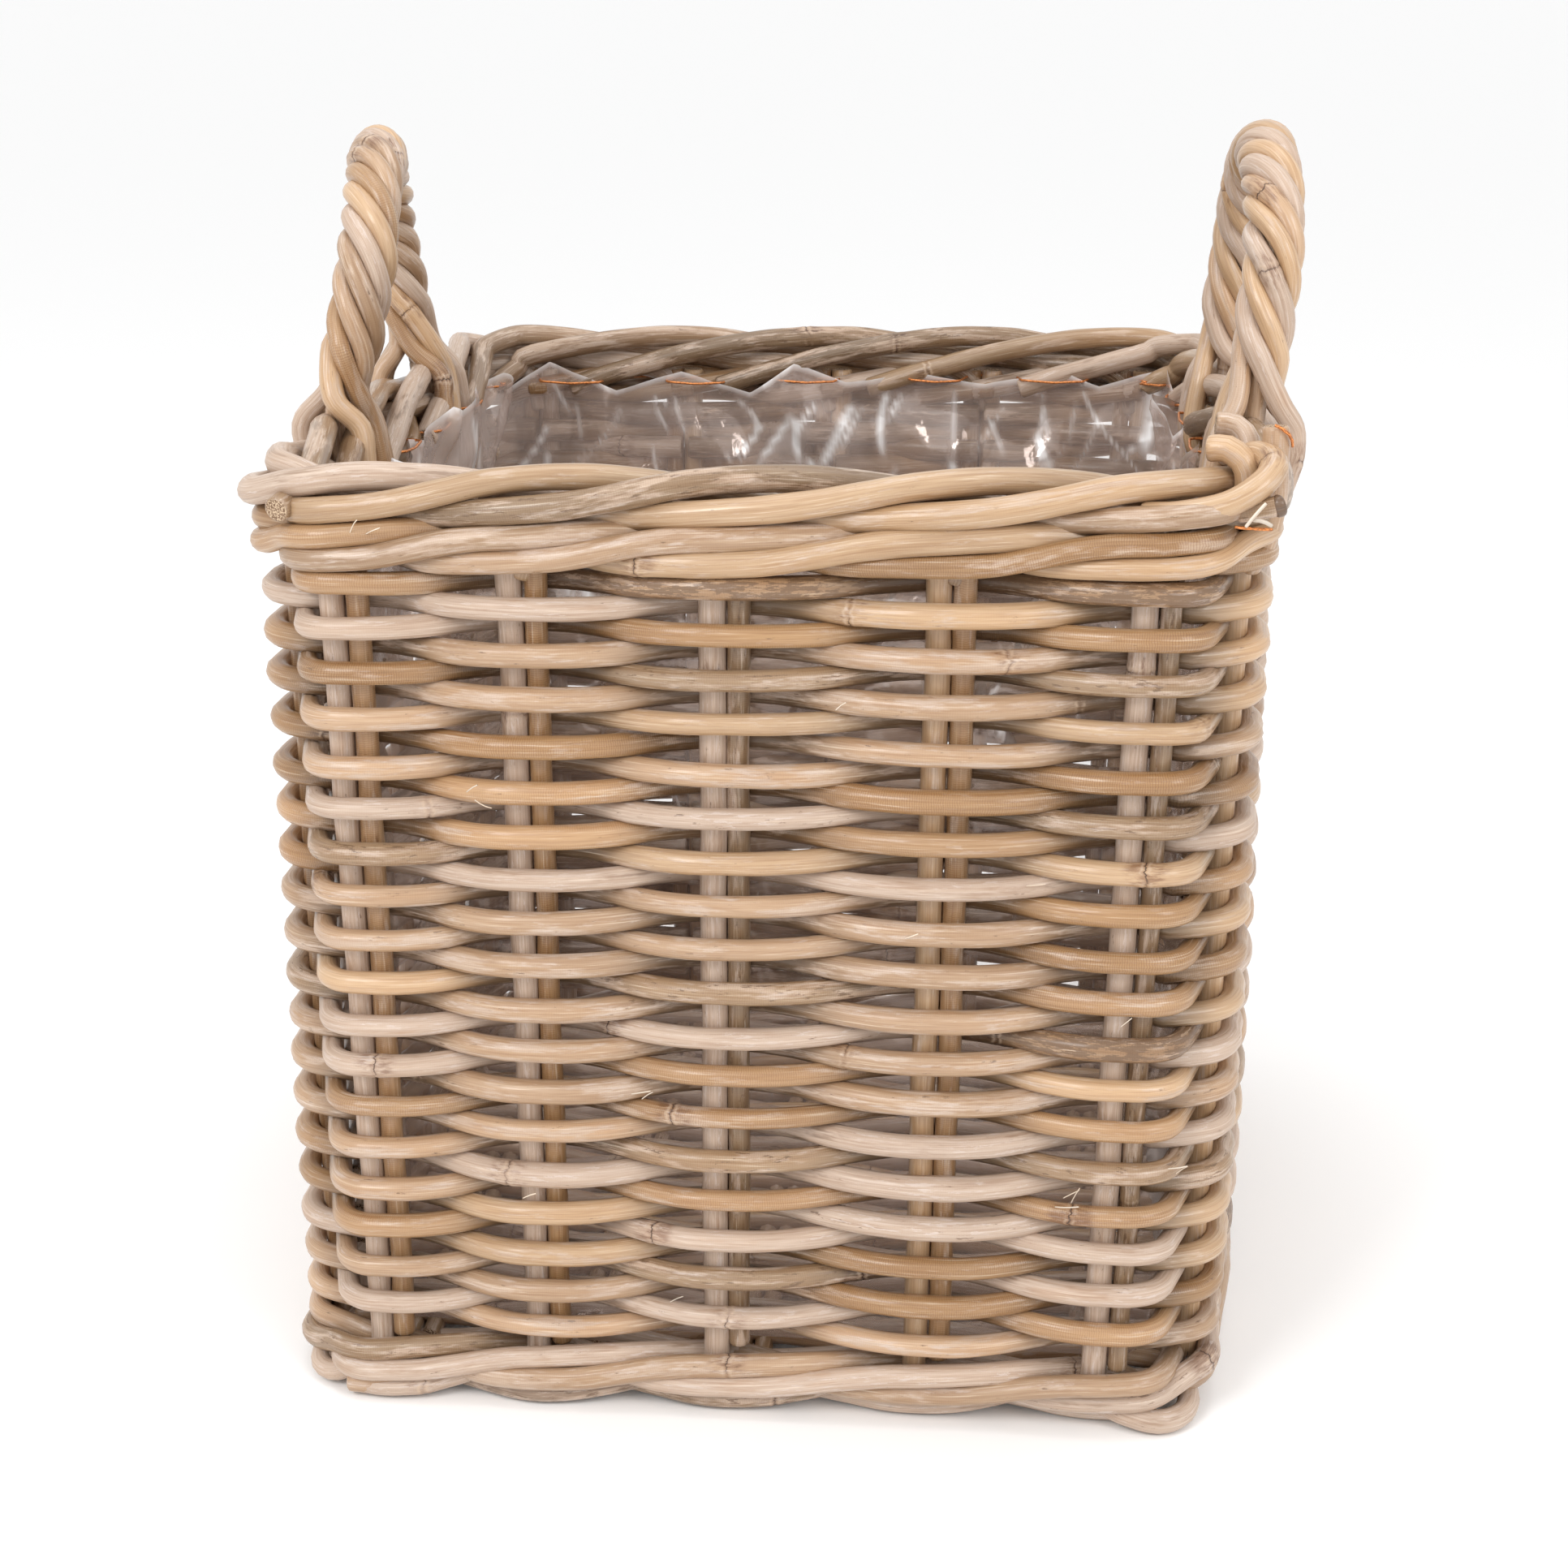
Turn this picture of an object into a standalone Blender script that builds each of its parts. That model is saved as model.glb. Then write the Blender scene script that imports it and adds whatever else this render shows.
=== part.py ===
"""Square wicker log basket: woven wall on double stakes, rope handles and a film liner.

Metres, +Z up. The origin is the middle of the face the basket stands on. X runs from the
left handle to the right one and the front wall faces -Y.
"""
import math

import bmesh
import bpy
from mathutils import Vector

# ---- driving dimensions ---------------------------------------------------------------------
GAP = 0.0003                    # clearance between pieces that touch
BODY_HEIGHT = 0.384             # floor to the top of the border
WALL_HALF_TOP = 0.181           # centre of the basket to the middle of the wall, at the border
WALL_HALF_FOOT = 0.1757         # the same at the floor: the wall narrows towards the foot
CORNER_RADIUS = 0.026           # of the line that the stakes stand on

STAKE_RADIUS = 0.0045
STAKE_PITCH = 0.0098            # a stake and its bye-stake, centre to centre
STAKE_SIDES = 8
STAKE_SEATS = {                 # middle of each stake pair along its wall, at border height
    "front": (-0.149, -0.082, -0.007, 0.0755, 0.149),
    "right": (-0.149, -0.0845, 0.0, 0.0845, 0.149),
    "back": (-0.149, -0.075, 0.0, 0.075, 0.149),
    "left": (-0.149, -0.0845, 0.0, 0.0845, 0.149),
}
HANDLE_WALLS = ("right", "left")
HANDLE_SEAT = 0.0698            # each handle leg stands just inside the second and fourth pair

BAND_COUNT = 9                  # each band of weave holds four rows of rods
WEAVE_THICKNESS = 0.0063
SEAT_MARGIN = 0.0008            # how far the weave runs straight past a stake

FOOT_BORDER_TOP = 0.012
FOOT_WALE_TOP = 0.0302
UPPER_WALE_FOOT = 0.349
BORDER_FOOT = 0.367
WALE_THICKNESS = 0.0078
BORDER_INNER = -0.0095          # measured outwards from the middle of the wall
BORDER_OUTER = 0.0125
FOOT_BORDER_INNER = -0.010
FOOT_BORDER_OUTER = 0.0115
BORDER_BEVEL = 0.0045

BASE_THICKNESS = 0.009
LINER_THICKNESS = 0.0006
LINER_TOP = 0.3655
LINER_CORNER = 0.020
STITCH_RADIUS = 0.0007
STITCH_HEIGHT = 0.360

CORE_RADIUS = 0.0045
CORE_SIDES = 8
CORE_FOOT = 0.205               # the handle's core is pushed this far down into the wall
ROPE_RADIUS = 0.013
ROPE_SIDES = 10
ROPE_FOOT = 0.3885              # the strands start just above the border
BOW_STEPS = 4                   # sections between two points of a handle's centre line
HANDLE_BOWS = {                 # centre line above the border, front to back
    "handle_left": (
        (-0.1740, -0.067, 0.410), (-0.1690, -0.059, 0.444), (-0.1715, -0.034, 0.4705),
        (-0.1780, 0.000, 0.4790), (-0.1860, 0.034, 0.4705), (-0.1900, 0.059, 0.444),
        (-0.1865, 0.067, 0.410)),
    "handle_right": (
        (0.1870, -0.067, 0.412), (0.1900, -0.060, 0.449), (0.1898, -0.035, 0.4770),
        (0.1890, 0.000, 0.4865), (0.1880, 0.035, 0.4770), (0.1870, 0.060, 0.449),
        (0.1845, 0.067, 0.412)),
}

WALLS = ("front", "right", "back", "left")

# ---- finishes: base colour, roughness, metallic --------------------------------------------
GOLDEN = ((0.60, 0.43, 0.25), 0.45, 0.0)
BUFF = ((0.69, 0.54, 0.38), 0.45, 0.0)
GREY = ((0.50, 0.39, 0.32), 0.50, 0.0)
FILM = ((0.62, 0.60, 0.58), 0.20, 0.0)
COPPER = ((0.72, 0.33, 0.12), 0.35, 1.0)
ROD_FINISHES = (GOLDEN, GREY, BUFF)


def clear_scene():
    """Remove every object of the scene."""
    for item in list(bpy.data.objects):
        bpy.data.objects.remove(item, do_unlink=True)


def wall_half(height):
    """Distance from the basket's axis to the middle of a wall at this height."""
    return WALL_HALF_FOOT + (WALL_HALF_TOP - WALL_HALF_FOOT) * height / BODY_HEIGHT


def wall_point(wall, along, outwards, height):
    """Point on a wall: along it as at border height, outwards from its middle."""
    half = wall_half(height)
    local = Vector((along * half / WALL_HALF_TOP, -half - outwards))
    turn = math.radians(90) * WALLS.index(wall)
    x = local.x * math.cos(turn) - local.y * math.sin(turn)
    y = local.x * math.sin(turn) + local.y * math.cos(turn)
    return Vector((x, y, height))


def add_object(name, mesh, finish):
    """Link a mesh as a named object with a material of its own."""
    colour, roughness, metallic = finish
    material = bpy.data.materials.new(name)
    material.use_nodes = True
    shader = material.node_tree.nodes["Principled BSDF"]
    shader.inputs["Base Color"].default_value = (*colour, 1.0)
    shader.inputs["Roughness"].default_value = roughness
    shader.inputs["Metallic"].default_value = metallic
    mesh.materials.append(material)
    item = bpy.data.objects.new(name, mesh)
    bpy.context.scene.collection.objects.link(item)
    return item


def skin_loops(name, loops, finish, ring):
    """Bridge equal loops of points into one closed body, capped unless it is a ring."""
    bm = bmesh.new()
    rows = [[bm.verts.new(point) for point in loop] for loop in loops]
    count = len(rows)
    sides = len(rows[0])
    for step in range(count if ring else count - 1):
        here = rows[step]
        there = rows[(step + 1) % count]
        for side in range(sides):
            after = (side + 1) % sides
            bm.faces.new((here[side], here[after], there[after], there[side]))
    if not ring:
        bm.faces.new(list(reversed(rows[0])))
        bm.faces.new(rows[-1])
    bmesh.ops.recalc_face_normals(bm, faces=bm.faces)
    mesh = bpy.data.meshes.new(name)
    bm.to_mesh(mesh)
    bm.free()
    return add_object(name, mesh, finish)


def circle_section(centre, across, upwards, radius, sides):
    """Points of a circle in the plane of two unit vectors."""
    points = []
    for side in range(sides):
        turn = 2 * math.pi * side / sides
        points.append(centre + across * radius * math.cos(turn) + upwards * radius * math.sin(turn))
    return points


def rounded_square(half, radius, steps=4):
    """Outline of a square with round corners, anticlockwise from the front right corner."""
    points = []
    for corner in range(4):
        start = math.radians(90) * (corner - 1)
        middle = start + math.radians(45)
        reach = (half - radius) * math.sqrt(2)
        centre = Vector((math.cos(middle), math.sin(middle))) * reach
        for step in range(steps + 1):
            turn = start + math.radians(90) * step / steps
            points.append(centre + Vector((math.cos(turn), math.sin(turn))) * radius)
    return points


def square_ring(name, profile, finish, corner=CORNER_RADIUS):
    """Sweep a profile of (outwards, height) points round the wall's line."""
    columns = []
    for outwards, height in profile:
        outline = rounded_square(wall_half(height) + outwards, corner + outwards)
        columns.append([Vector((point.x, point.y, height)) for point in outline])
    loops = [[column[place] for column in columns] for place in range(len(columns[0]))]
    return skin_loops(name, loops, finish, ring=True)


def bevelled_profile(inner, outer, foot, top, bevel):
    """Rectangle of a ring's section with its four corners cut."""
    return [
        (inner + bevel, foot), (outer - bevel, foot), (outer, foot + bevel), (outer, top - bevel),
        (outer - bevel, top), (inner + bevel, top), (inner, top - bevel), (inner, foot + bevel)]


# ---- stakes ---------------------------------------------------------------------------------
def build_stakes():
    """Main stake and bye-stake of every pair, from the foot border up to the top border."""
    for wall in WALLS:
        for number, seat in enumerate(STAKE_SEATS[wall], start=1):
            for label, shift in (("stake", -STAKE_PITCH / 2), ("bye_stake", STAKE_PITCH / 2)):
                foot = wall_point(wall, seat + shift, 0, FOOT_BORDER_TOP + GAP)
                top = wall_point(wall, seat + shift, 0, BORDER_FOOT - GAP)
                loops = [circle_section(end, Vector((1, 0, 0)), Vector((0, 1, 0)),
                                        STAKE_RADIUS, STAKE_SIDES) for end in (foot, top)]
                finish = BUFF if label == "stake" else GOLDEN
                skin_loops(f"{wall}_{label}_{number}", loops, finish, ring=False)


# ---- woven wall -----------------------------------------------------------------------------
def seat_span(wall, seat):
    """Stretch of wall, as at border height, that the weave must pass straight."""
    reach = STAKE_PITCH / 2 + STAKE_RADIUS + SEAT_MARGIN
    low = seat - reach
    high = seat + reach
    if wall in HANDLE_WALLS and 0 < abs(seat) < abs(STAKE_SEATS[wall][0]):
        core_edge = HANDLE_SEAT - CORE_RADIUS - SEAT_MARGIN
        if seat > 0:
            low = core_edge
        else:
            high = -core_edge
    return low, high


def weave_line(phase, height):
    """Middle line of a woven band at one height: outside one pair, inside the next."""
    swing = STAKE_RADIUS + GAP + WEAVE_THICKNESS / 2
    points = []
    side = phase
    for wall in WALLS:
        for seat in STAKE_SEATS[wall]:
            for along in seat_span(wall, seat):
                points.append(wall_point(wall, along, swing * side, height))
            side = -side
    return points


def thick_line(points, thickness):
    """Outer and inner outline of a closed line of this thickness, with mitred corners."""
    outer = []
    inner = []
    count = len(points)
    for place, point in enumerate(points):
        arriving = (point - points[place - 1]).normalized()
        leaving = (points[(place + 1) % count] - point).normalized()
        normal = Vector((arriving.y, -arriving.x, 0))
        mitre = (normal + Vector((leaving.y, -leaving.x, 0))).normalized()
        reach = thickness / 2 / mitre.dot(normal)
        outer.append(point + mitre * reach)
        inner.append(point - mitre * reach)
    return outer, inner


def build_weave():
    """Bands of weave between the two wales, each band in the opposite phase to the last."""
    foot = FOOT_WALE_TOP + GAP
    pitch = (UPPER_WALE_FOOT - foot) / BAND_COUNT
    for band in range(BAND_COUNT):
        low = foot + pitch * band
        high = low + pitch - GAP
        phase = 1 if band % 2 == 0 else -1
        low_outer, low_inner = thick_line(weave_line(phase, low), WEAVE_THICKNESS)
        high_outer, high_inner = thick_line(weave_line(phase, high), WEAVE_THICKNESS)
        loops = [list(loop) for loop in zip(low_outer, high_outer, high_inner, low_inner)]
        skin_loops(f"weave_band_{band + 1}", loops, ROD_FINISHES[band % 3], ring=True)


def build_wales_and_borders():
    """Rope-like bands outside the stakes, and the borders that close the wall's two ends."""
    inner = STAKE_RADIUS + GAP
    outer = inner + WALE_THICKNESS
    bevel = WALE_THICKNESS / 4
    foot_wale = bevelled_profile(inner, outer, FOOT_BORDER_TOP + GAP, FOOT_WALE_TOP, bevel)
    square_ring("foot_wale", foot_wale, GREY)
    upper_wale = bevelled_profile(inner, outer, UPPER_WALE_FOOT, BORDER_FOOT - GAP, bevel)
    square_ring("upper_wale", upper_wale, GREY)
    foot_border = bevelled_profile(
        FOOT_BORDER_INNER, FOOT_BORDER_OUTER, 0.0, FOOT_BORDER_TOP, BORDER_BEVEL / 1.5)
    square_ring("foot_border", foot_border, BUFF)
    top_border = bevelled_profile(
        BORDER_INNER, BORDER_OUTER, BORDER_FOOT, BODY_HEIGHT, BORDER_BEVEL)
    return square_ring("top_border", top_border, GOLDEN)


# ---- base and liner -------------------------------------------------------------------------
def build_base():
    """Woven base panel, which lies on the foot border inside the stakes."""
    loops = []
    foot = FOOT_BORDER_TOP + GAP
    for height in (foot, foot + BASE_THICKNESS):
        inset = STAKE_RADIUS + GAP
        outline = rounded_square(wall_half(foot) - inset, CORNER_RADIUS - inset)
        loops.append([Vector((point.x, point.y, height)) for point in outline])
    skin_loops("base_panel", loops, GREY, ring=False)


def liner_loop(height, inset):
    """Outline of the liner at one height, this far inside its outer face."""
    half = wall_half(height) - STAKE_RADIUS - WEAVE_THICKNESS - 3 * GAP - inset
    outline = rounded_square(half, LINER_CORNER - inset)
    return [Vector((point.x, point.y, height)) for point in outline]


def build_liner():
    """Open tub of film inside the weave, and the wire that sews it under the border."""
    foot = FOOT_BORDER_TOP + 2 * GAP + BASE_THICKNESS
    loops = [
        liner_loop(foot, 0.0),
        liner_loop(LINER_TOP, 0.0),
        liner_loop(LINER_TOP, LINER_THICKNESS),
        liner_loop(foot + LINER_THICKNESS, LINER_THICKNESS)]
    skin_loops("liner", loops, FILM, ring=False)

    inset = LINER_THICKNESS + GAP + STITCH_RADIUS
    rise = Vector((0, 0, STITCH_RADIUS))
    middle = liner_loop(STITCH_HEIGHT, inset)
    outer = liner_loop(STITCH_HEIGHT, inset - STITCH_RADIUS)
    inner = liner_loop(STITCH_HEIGHT, inset + STITCH_RADIUS)
    loops = [[out, point + rise, into, point - rise] for out, point, into in zip(outer, middle, inner)]
    skin_loops("liner_stitching", loops, COPPER, ring=True)


# ---- handles --------------------------------------------------------------------------------
def smooth_line(points, steps):
    """Catmull-Rom curve through the points."""
    line = []
    padded = [points[0] * 2 - points[1], *points, points[-1] * 2 - points[-2]]
    for place in range(1, len(padded) - 2):
        before, start, end, after = padded[place - 1:place + 3]
        for step in range(steps):
            t = step / steps
            line.append(0.5 * (
                2 * start + (end - before) * t
                + (2 * before - 5 * start + 4 * end - after) * t ** 2
                + (3 * start - before - 3 * end + after) * t ** 3))
    line.append(points[-1])
    return line


def tube_loops(line, radius, sides):
    """Circles square to a line that bends mostly in the YZ plane."""
    loops = []
    last = len(line) - 1
    for place, point in enumerate(line):
        tangent = (line[min(place + 1, last)] - line[max(place - 1, 0)]).normalized()
        across = (Vector((1, 0, 0)) - tangent * tangent.x).normalized()
        loops.append(circle_section(point, across, tangent.cross(across), radius, sides))
    return loops


def leg_points(wall, height):
    """Where a handle's two legs are at one height of the wall, front to back."""
    legs = [wall_point(wall, side * HANDLE_SEAT, 0, height) for side in (-1, 1)]
    return sorted(legs, key=lambda point: point.y)


def build_handle(name, wall, border):
    """Core rod that runs down into the wall, and the rope of strands laid round it."""
    front_exit, back_exit = leg_points(wall, ROPE_FOOT)
    bow = [Vector(point) for point in HANDLE_BOWS[name]]
    line = smooth_line([front_exit, *bow, back_exit], BOW_STEPS)
    feet = leg_points(wall, CORE_FOOT)
    core_line = [feet[0], *line, feet[1]]
    skin_loops(f"{name}_core", tube_loops(core_line, CORE_RADIUS, CORE_SIDES), BUFF, ring=False)

    outer = tube_loops(line, ROPE_RADIUS, ROPE_SIDES)
    inner = tube_loops(line, CORE_RADIUS + GAP, ROPE_SIDES)
    skin_loops(f"{name}_rope", outer + inner[::-1], GOLDEN, ring=True)

    below = leg_points(wall, BORDER_FOOT - CORE_RADIUS)
    above = leg_points(wall, BODY_HEIGHT + CORE_RADIUS)
    for place, ends in enumerate(zip(below, above)):
        hole = tube_loops(list(ends), CORE_RADIUS + GAP, CORE_SIDES)
        cutter = skin_loops(f"{name}_hole_{place}", hole, BUFF, ring=False)
        cutter.hide_render = True
        cutter.display_type = "WIRE"
        cut = border.modifiers.new(cutter.name, "BOOLEAN")
        cut.operation = "DIFFERENCE"
        cut.object = cutter


clear_scene()
build_stakes()
build_weave()
top_border = build_wales_and_borders()
build_base()
build_liner()
for handle, handle_wall in (("handle_left", "left"), ("handle_right", "right")):
    build_handle(handle, handle_wall, top_border)
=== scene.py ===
"""Lined wicker log basket: the fine cane, film and wire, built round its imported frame.

Metres, +Z up. X runs from the left handle to the right one and the front wall faces -Y.
Every rod is laid along the line of the walls, which comes from the stakes of the frame.
"""
import logging
import math
from collections.abc import Sequence
from dataclasses import dataclass, field
from enum import Enum

import bpy
import numpy as np
from mathutils import Matrix, Vector


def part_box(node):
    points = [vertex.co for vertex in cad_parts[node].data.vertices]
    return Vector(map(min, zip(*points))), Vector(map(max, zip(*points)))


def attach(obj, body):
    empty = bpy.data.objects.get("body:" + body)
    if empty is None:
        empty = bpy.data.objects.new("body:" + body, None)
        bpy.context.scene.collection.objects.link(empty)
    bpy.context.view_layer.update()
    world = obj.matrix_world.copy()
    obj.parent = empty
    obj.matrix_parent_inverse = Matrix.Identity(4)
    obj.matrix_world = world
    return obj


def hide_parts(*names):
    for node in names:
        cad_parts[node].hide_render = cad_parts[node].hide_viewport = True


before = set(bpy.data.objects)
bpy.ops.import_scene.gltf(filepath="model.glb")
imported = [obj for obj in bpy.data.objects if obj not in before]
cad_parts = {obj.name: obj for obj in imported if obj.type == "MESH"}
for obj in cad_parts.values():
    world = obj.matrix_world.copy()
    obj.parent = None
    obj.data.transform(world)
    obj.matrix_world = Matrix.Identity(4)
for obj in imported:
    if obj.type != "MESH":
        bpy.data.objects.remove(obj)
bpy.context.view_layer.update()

LOG = logging.getLogger("log_basket")

BODY = "root"
MILLIMETRE = 0.001
ROD_STEP = 0.0032               # spacing of the rings of points along a rod
LEAST_RING_GAP = 0.0003
JOINT_RINGS = (-1.6, -0.7, 0.0, 0.7, 1.6)   # rings added beside a joint, millimetres from it
JOINT_MARGIN = 0.004            # no such rings this near to a rod's end
END_RINGS = (0.5, 1.4, 2.6)     # rings added at a rod's ends, millimetres from them
SLOPE = 0.018                   # the weaver's rows climb a little from left to right


# ---- shader kit -----------------------------------------------------------------------------
class Wire:
    """A shader socket that takes part in arithmetic."""

    def __init__(self, kit: "NodeKit", socket: bpy.types.NodeSocket) -> None:
        self.kit = kit
        self.socket = socket

    def _math(self, operation: str, *values: object) -> "Wire":
        """Add one Math node.

        Args:
            operation: The node's operation.
            values: Its inputs, wires or numbers.

        Returns:
            The node's result.
        """
        return self.kit.node("ShaderNodeMath", {"operation": operation}, dict(enumerate(values)))

    def __add__(self, other: object) -> "Wire":
        """Sum."""
        return self._math("ADD", self, other)

    __radd__ = __add__

    def __sub__(self, other: object) -> "Wire":
        """Difference."""
        return self._math("SUBTRACT", self, other)

    def __rsub__(self, other: object) -> "Wire":
        """Difference the other way round."""
        return self._math("SUBTRACT", other, self)

    def __mul__(self, other: object) -> "Wire":
        """Product."""
        return self._math("MULTIPLY", self, other)

    __rmul__ = __mul__

    def step(self, low: float, high: float) -> "Wire":
        """Rise smoothly from 0 at low to 1 at high.

        Args:
            low: Value where the result starts to rise.
            high: Value where the result is full.

        Returns:
            The stepped value.
        """
        settings = {"interpolation_type": "SMOOTHSTEP"}
        sockets = {"Value": self, "From Min": low, "From Max": high}
        return self.kit.node("ShaderNodeMapRange", settings, sockets)

    def sine(self) -> "Wire":
        """Sine of the value."""
        return self._math("SINE", self)

    def size(self) -> "Wire":
        """Absolute value."""
        return self._math("ABSOLUTE", self)

    def axis(self, name: str) -> "Wire":
        """One coordinate of a vector."""
        return self.kit.node("ShaderNodeSeparateXYZ", {}, {0: self}, name)


class NodeKit:
    """Nodes of one material."""

    def __init__(self, name: str) -> None:
        """Start a material without nodes.

        Args:
            name: The material's name.
        """
        self.material = bpy.data.materials.new(name)
        self.material.use_nodes = True
        self.tree = self.material.node_tree
        self.tree.nodes.clear()

    def node(self, kind: str, settings: dict, sockets: dict, output: object = 0) -> Wire | None:
        """Add a node, set it and link it.

        Args:
            kind: The node's type.
            settings: Properties, set before the sockets.
            sockets: Socket name or number to a wire or a value.
            output: Name or number of the output to return.

        Returns:
            The chosen output, or None from a node that has no outputs.
        """
        made = self.tree.nodes.new(kind)
        for key, value in settings.items():
            setattr(made, key, value)
        for key, value in sockets.items():
            target = made.inputs[key]
            if isinstance(value, Wire):
                self.tree.links.new(value.socket, target)
            else:
                target.default_value = value
        return Wire(self, made.outputs[output]) if len(made.outputs) else None

    def attribute(self, name: str, output: str = "Vector") -> Wire:
        """Read a named attribute of the piece."""
        return self.node("ShaderNodeAttribute", {"attribute_name": name}, {}, output)

    def noise(self, where: Wire, scale: tuple[float, ...], detail: float = 2.0, rough: float = 0.5) -> Wire:
        """Noise from 0 to 1.

        Args:
            where: Where the noise is read.
            scale: Features in each metre, axis by axis; the last number also serves the axes left out.
            detail: Octaves.
            rough: Strength of the finer octaves.

        Returns:
            The noise value.
        """
        axes = (*scale, scale[-1])[:3]
        stretched = self.node("ShaderNodeVectorMath", {"operation": "MULTIPLY"}, {0: where, 1: axes})
        sockets = {"Vector": stretched, "Scale": 1.0, "Detail": detail, "Roughness": rough}
        return self.node("ShaderNodeTexNoise", {"noise_dimensions": "3D"}, sockets)

    def blend(self, amount: object, first: object, second: object, how: str = "MIX") -> Wire:
        """Mix two colours.

        Args:
            amount: Share of the second colour.
            first: Red, green and blue, or a wire.
            second: Red, green and blue, or a wire.
            how: The Mix node's blend type.

        Returns:
            The mixed colour.
        """
        settings = {"data_type": "RGBA", "blend_type": how, "clamp_factor": True}
        first, second = ((*value, 1.0) if isinstance(value, tuple) else value for value in (first, second))
        return self.node("ShaderNodeMix", settings, {0: amount, 6: first, 7: second}, 2)

    def tint(self, amount: object, first: Wire, shade: tuple[float, float, float]) -> Wire:
        """Darken a colour by a share of a shade."""
        return self.blend(amount, first, shade, "MULTIPLY")

    def bump(self, height: Wire, strength: float, distance: float) -> Wire:
        """Normal of a surface with relief.

        Args:
            height: The relief, from 0 to about 1.
            strength: Share of the relief that shows.
            distance: Height of the relief in metres.

        Returns:
            The normal.
        """
        sockets = {"Strength": strength, "Distance": distance, "Height": height}
        return self.node("ShaderNodeBump", {}, sockets, "Normal")

    def surface(self, sockets: dict) -> bpy.types.Material:
        """Close the material with a Principled shader.

        Args:
            sockets: Socket name to a wire or a value.

        Returns:
            The finished material.
        """
        shader = self.node("ShaderNodeBsdfPrincipled", {}, sockets)
        self.node("ShaderNodeOutputMaterial", {}, {"Surface": shader})
        return self.material


# ---- finishes -------------------------------------------------------------------------------
@dataclass(frozen=True)
class Tone:
    """Colour and skin of one rod of cane."""

    colour: tuple[float, float, float]
    wash: float                 # how much grey wash is left on the skin, 0 to 1
    ridges: float               # strength of the fine rings across the skin, 0 to 1
    stain: float                # how much brown mottling, 0 to 1


class Cane(Enum):
    """Rods as they come out of the bundle."""

    HONEY = Tone((0.385, 0.226, 0.105), 0.05, 1.0, 0.15)
    GOLDEN = Tone((0.440, 0.270, 0.140), 0.15, 0.8, 0.10)
    CREAM = Tone((0.540, 0.365, 0.218), 0.15, 0.1, 0.15)
    BUFF = Tone((0.460, 0.306, 0.190), 0.35, 0.2, 0.20)
    LILAC = Tone((0.455, 0.320, 0.230), 0.80, 0.1, 0.15)
    ASH = Tone((0.400, 0.286, 0.206), 0.90, 0.1, 0.25)
    DRAB = Tone((0.335, 0.222, 0.130), 0.30, 0.4, 0.35)
    UMBER = Tone((0.310, 0.192, 0.105), 0.15, 0.3, 0.8)
    MURKY = Tone((0.300, 0.212, 0.150), 0.45, 0.1, 0.45)
    CHAR = Tone((0.150, 0.095, 0.062), 0.0, 0.0, 0.9)
    FIBRE = Tone((0.740, 0.660, 0.560), 0.2, 0.0, 0.0)


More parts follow.
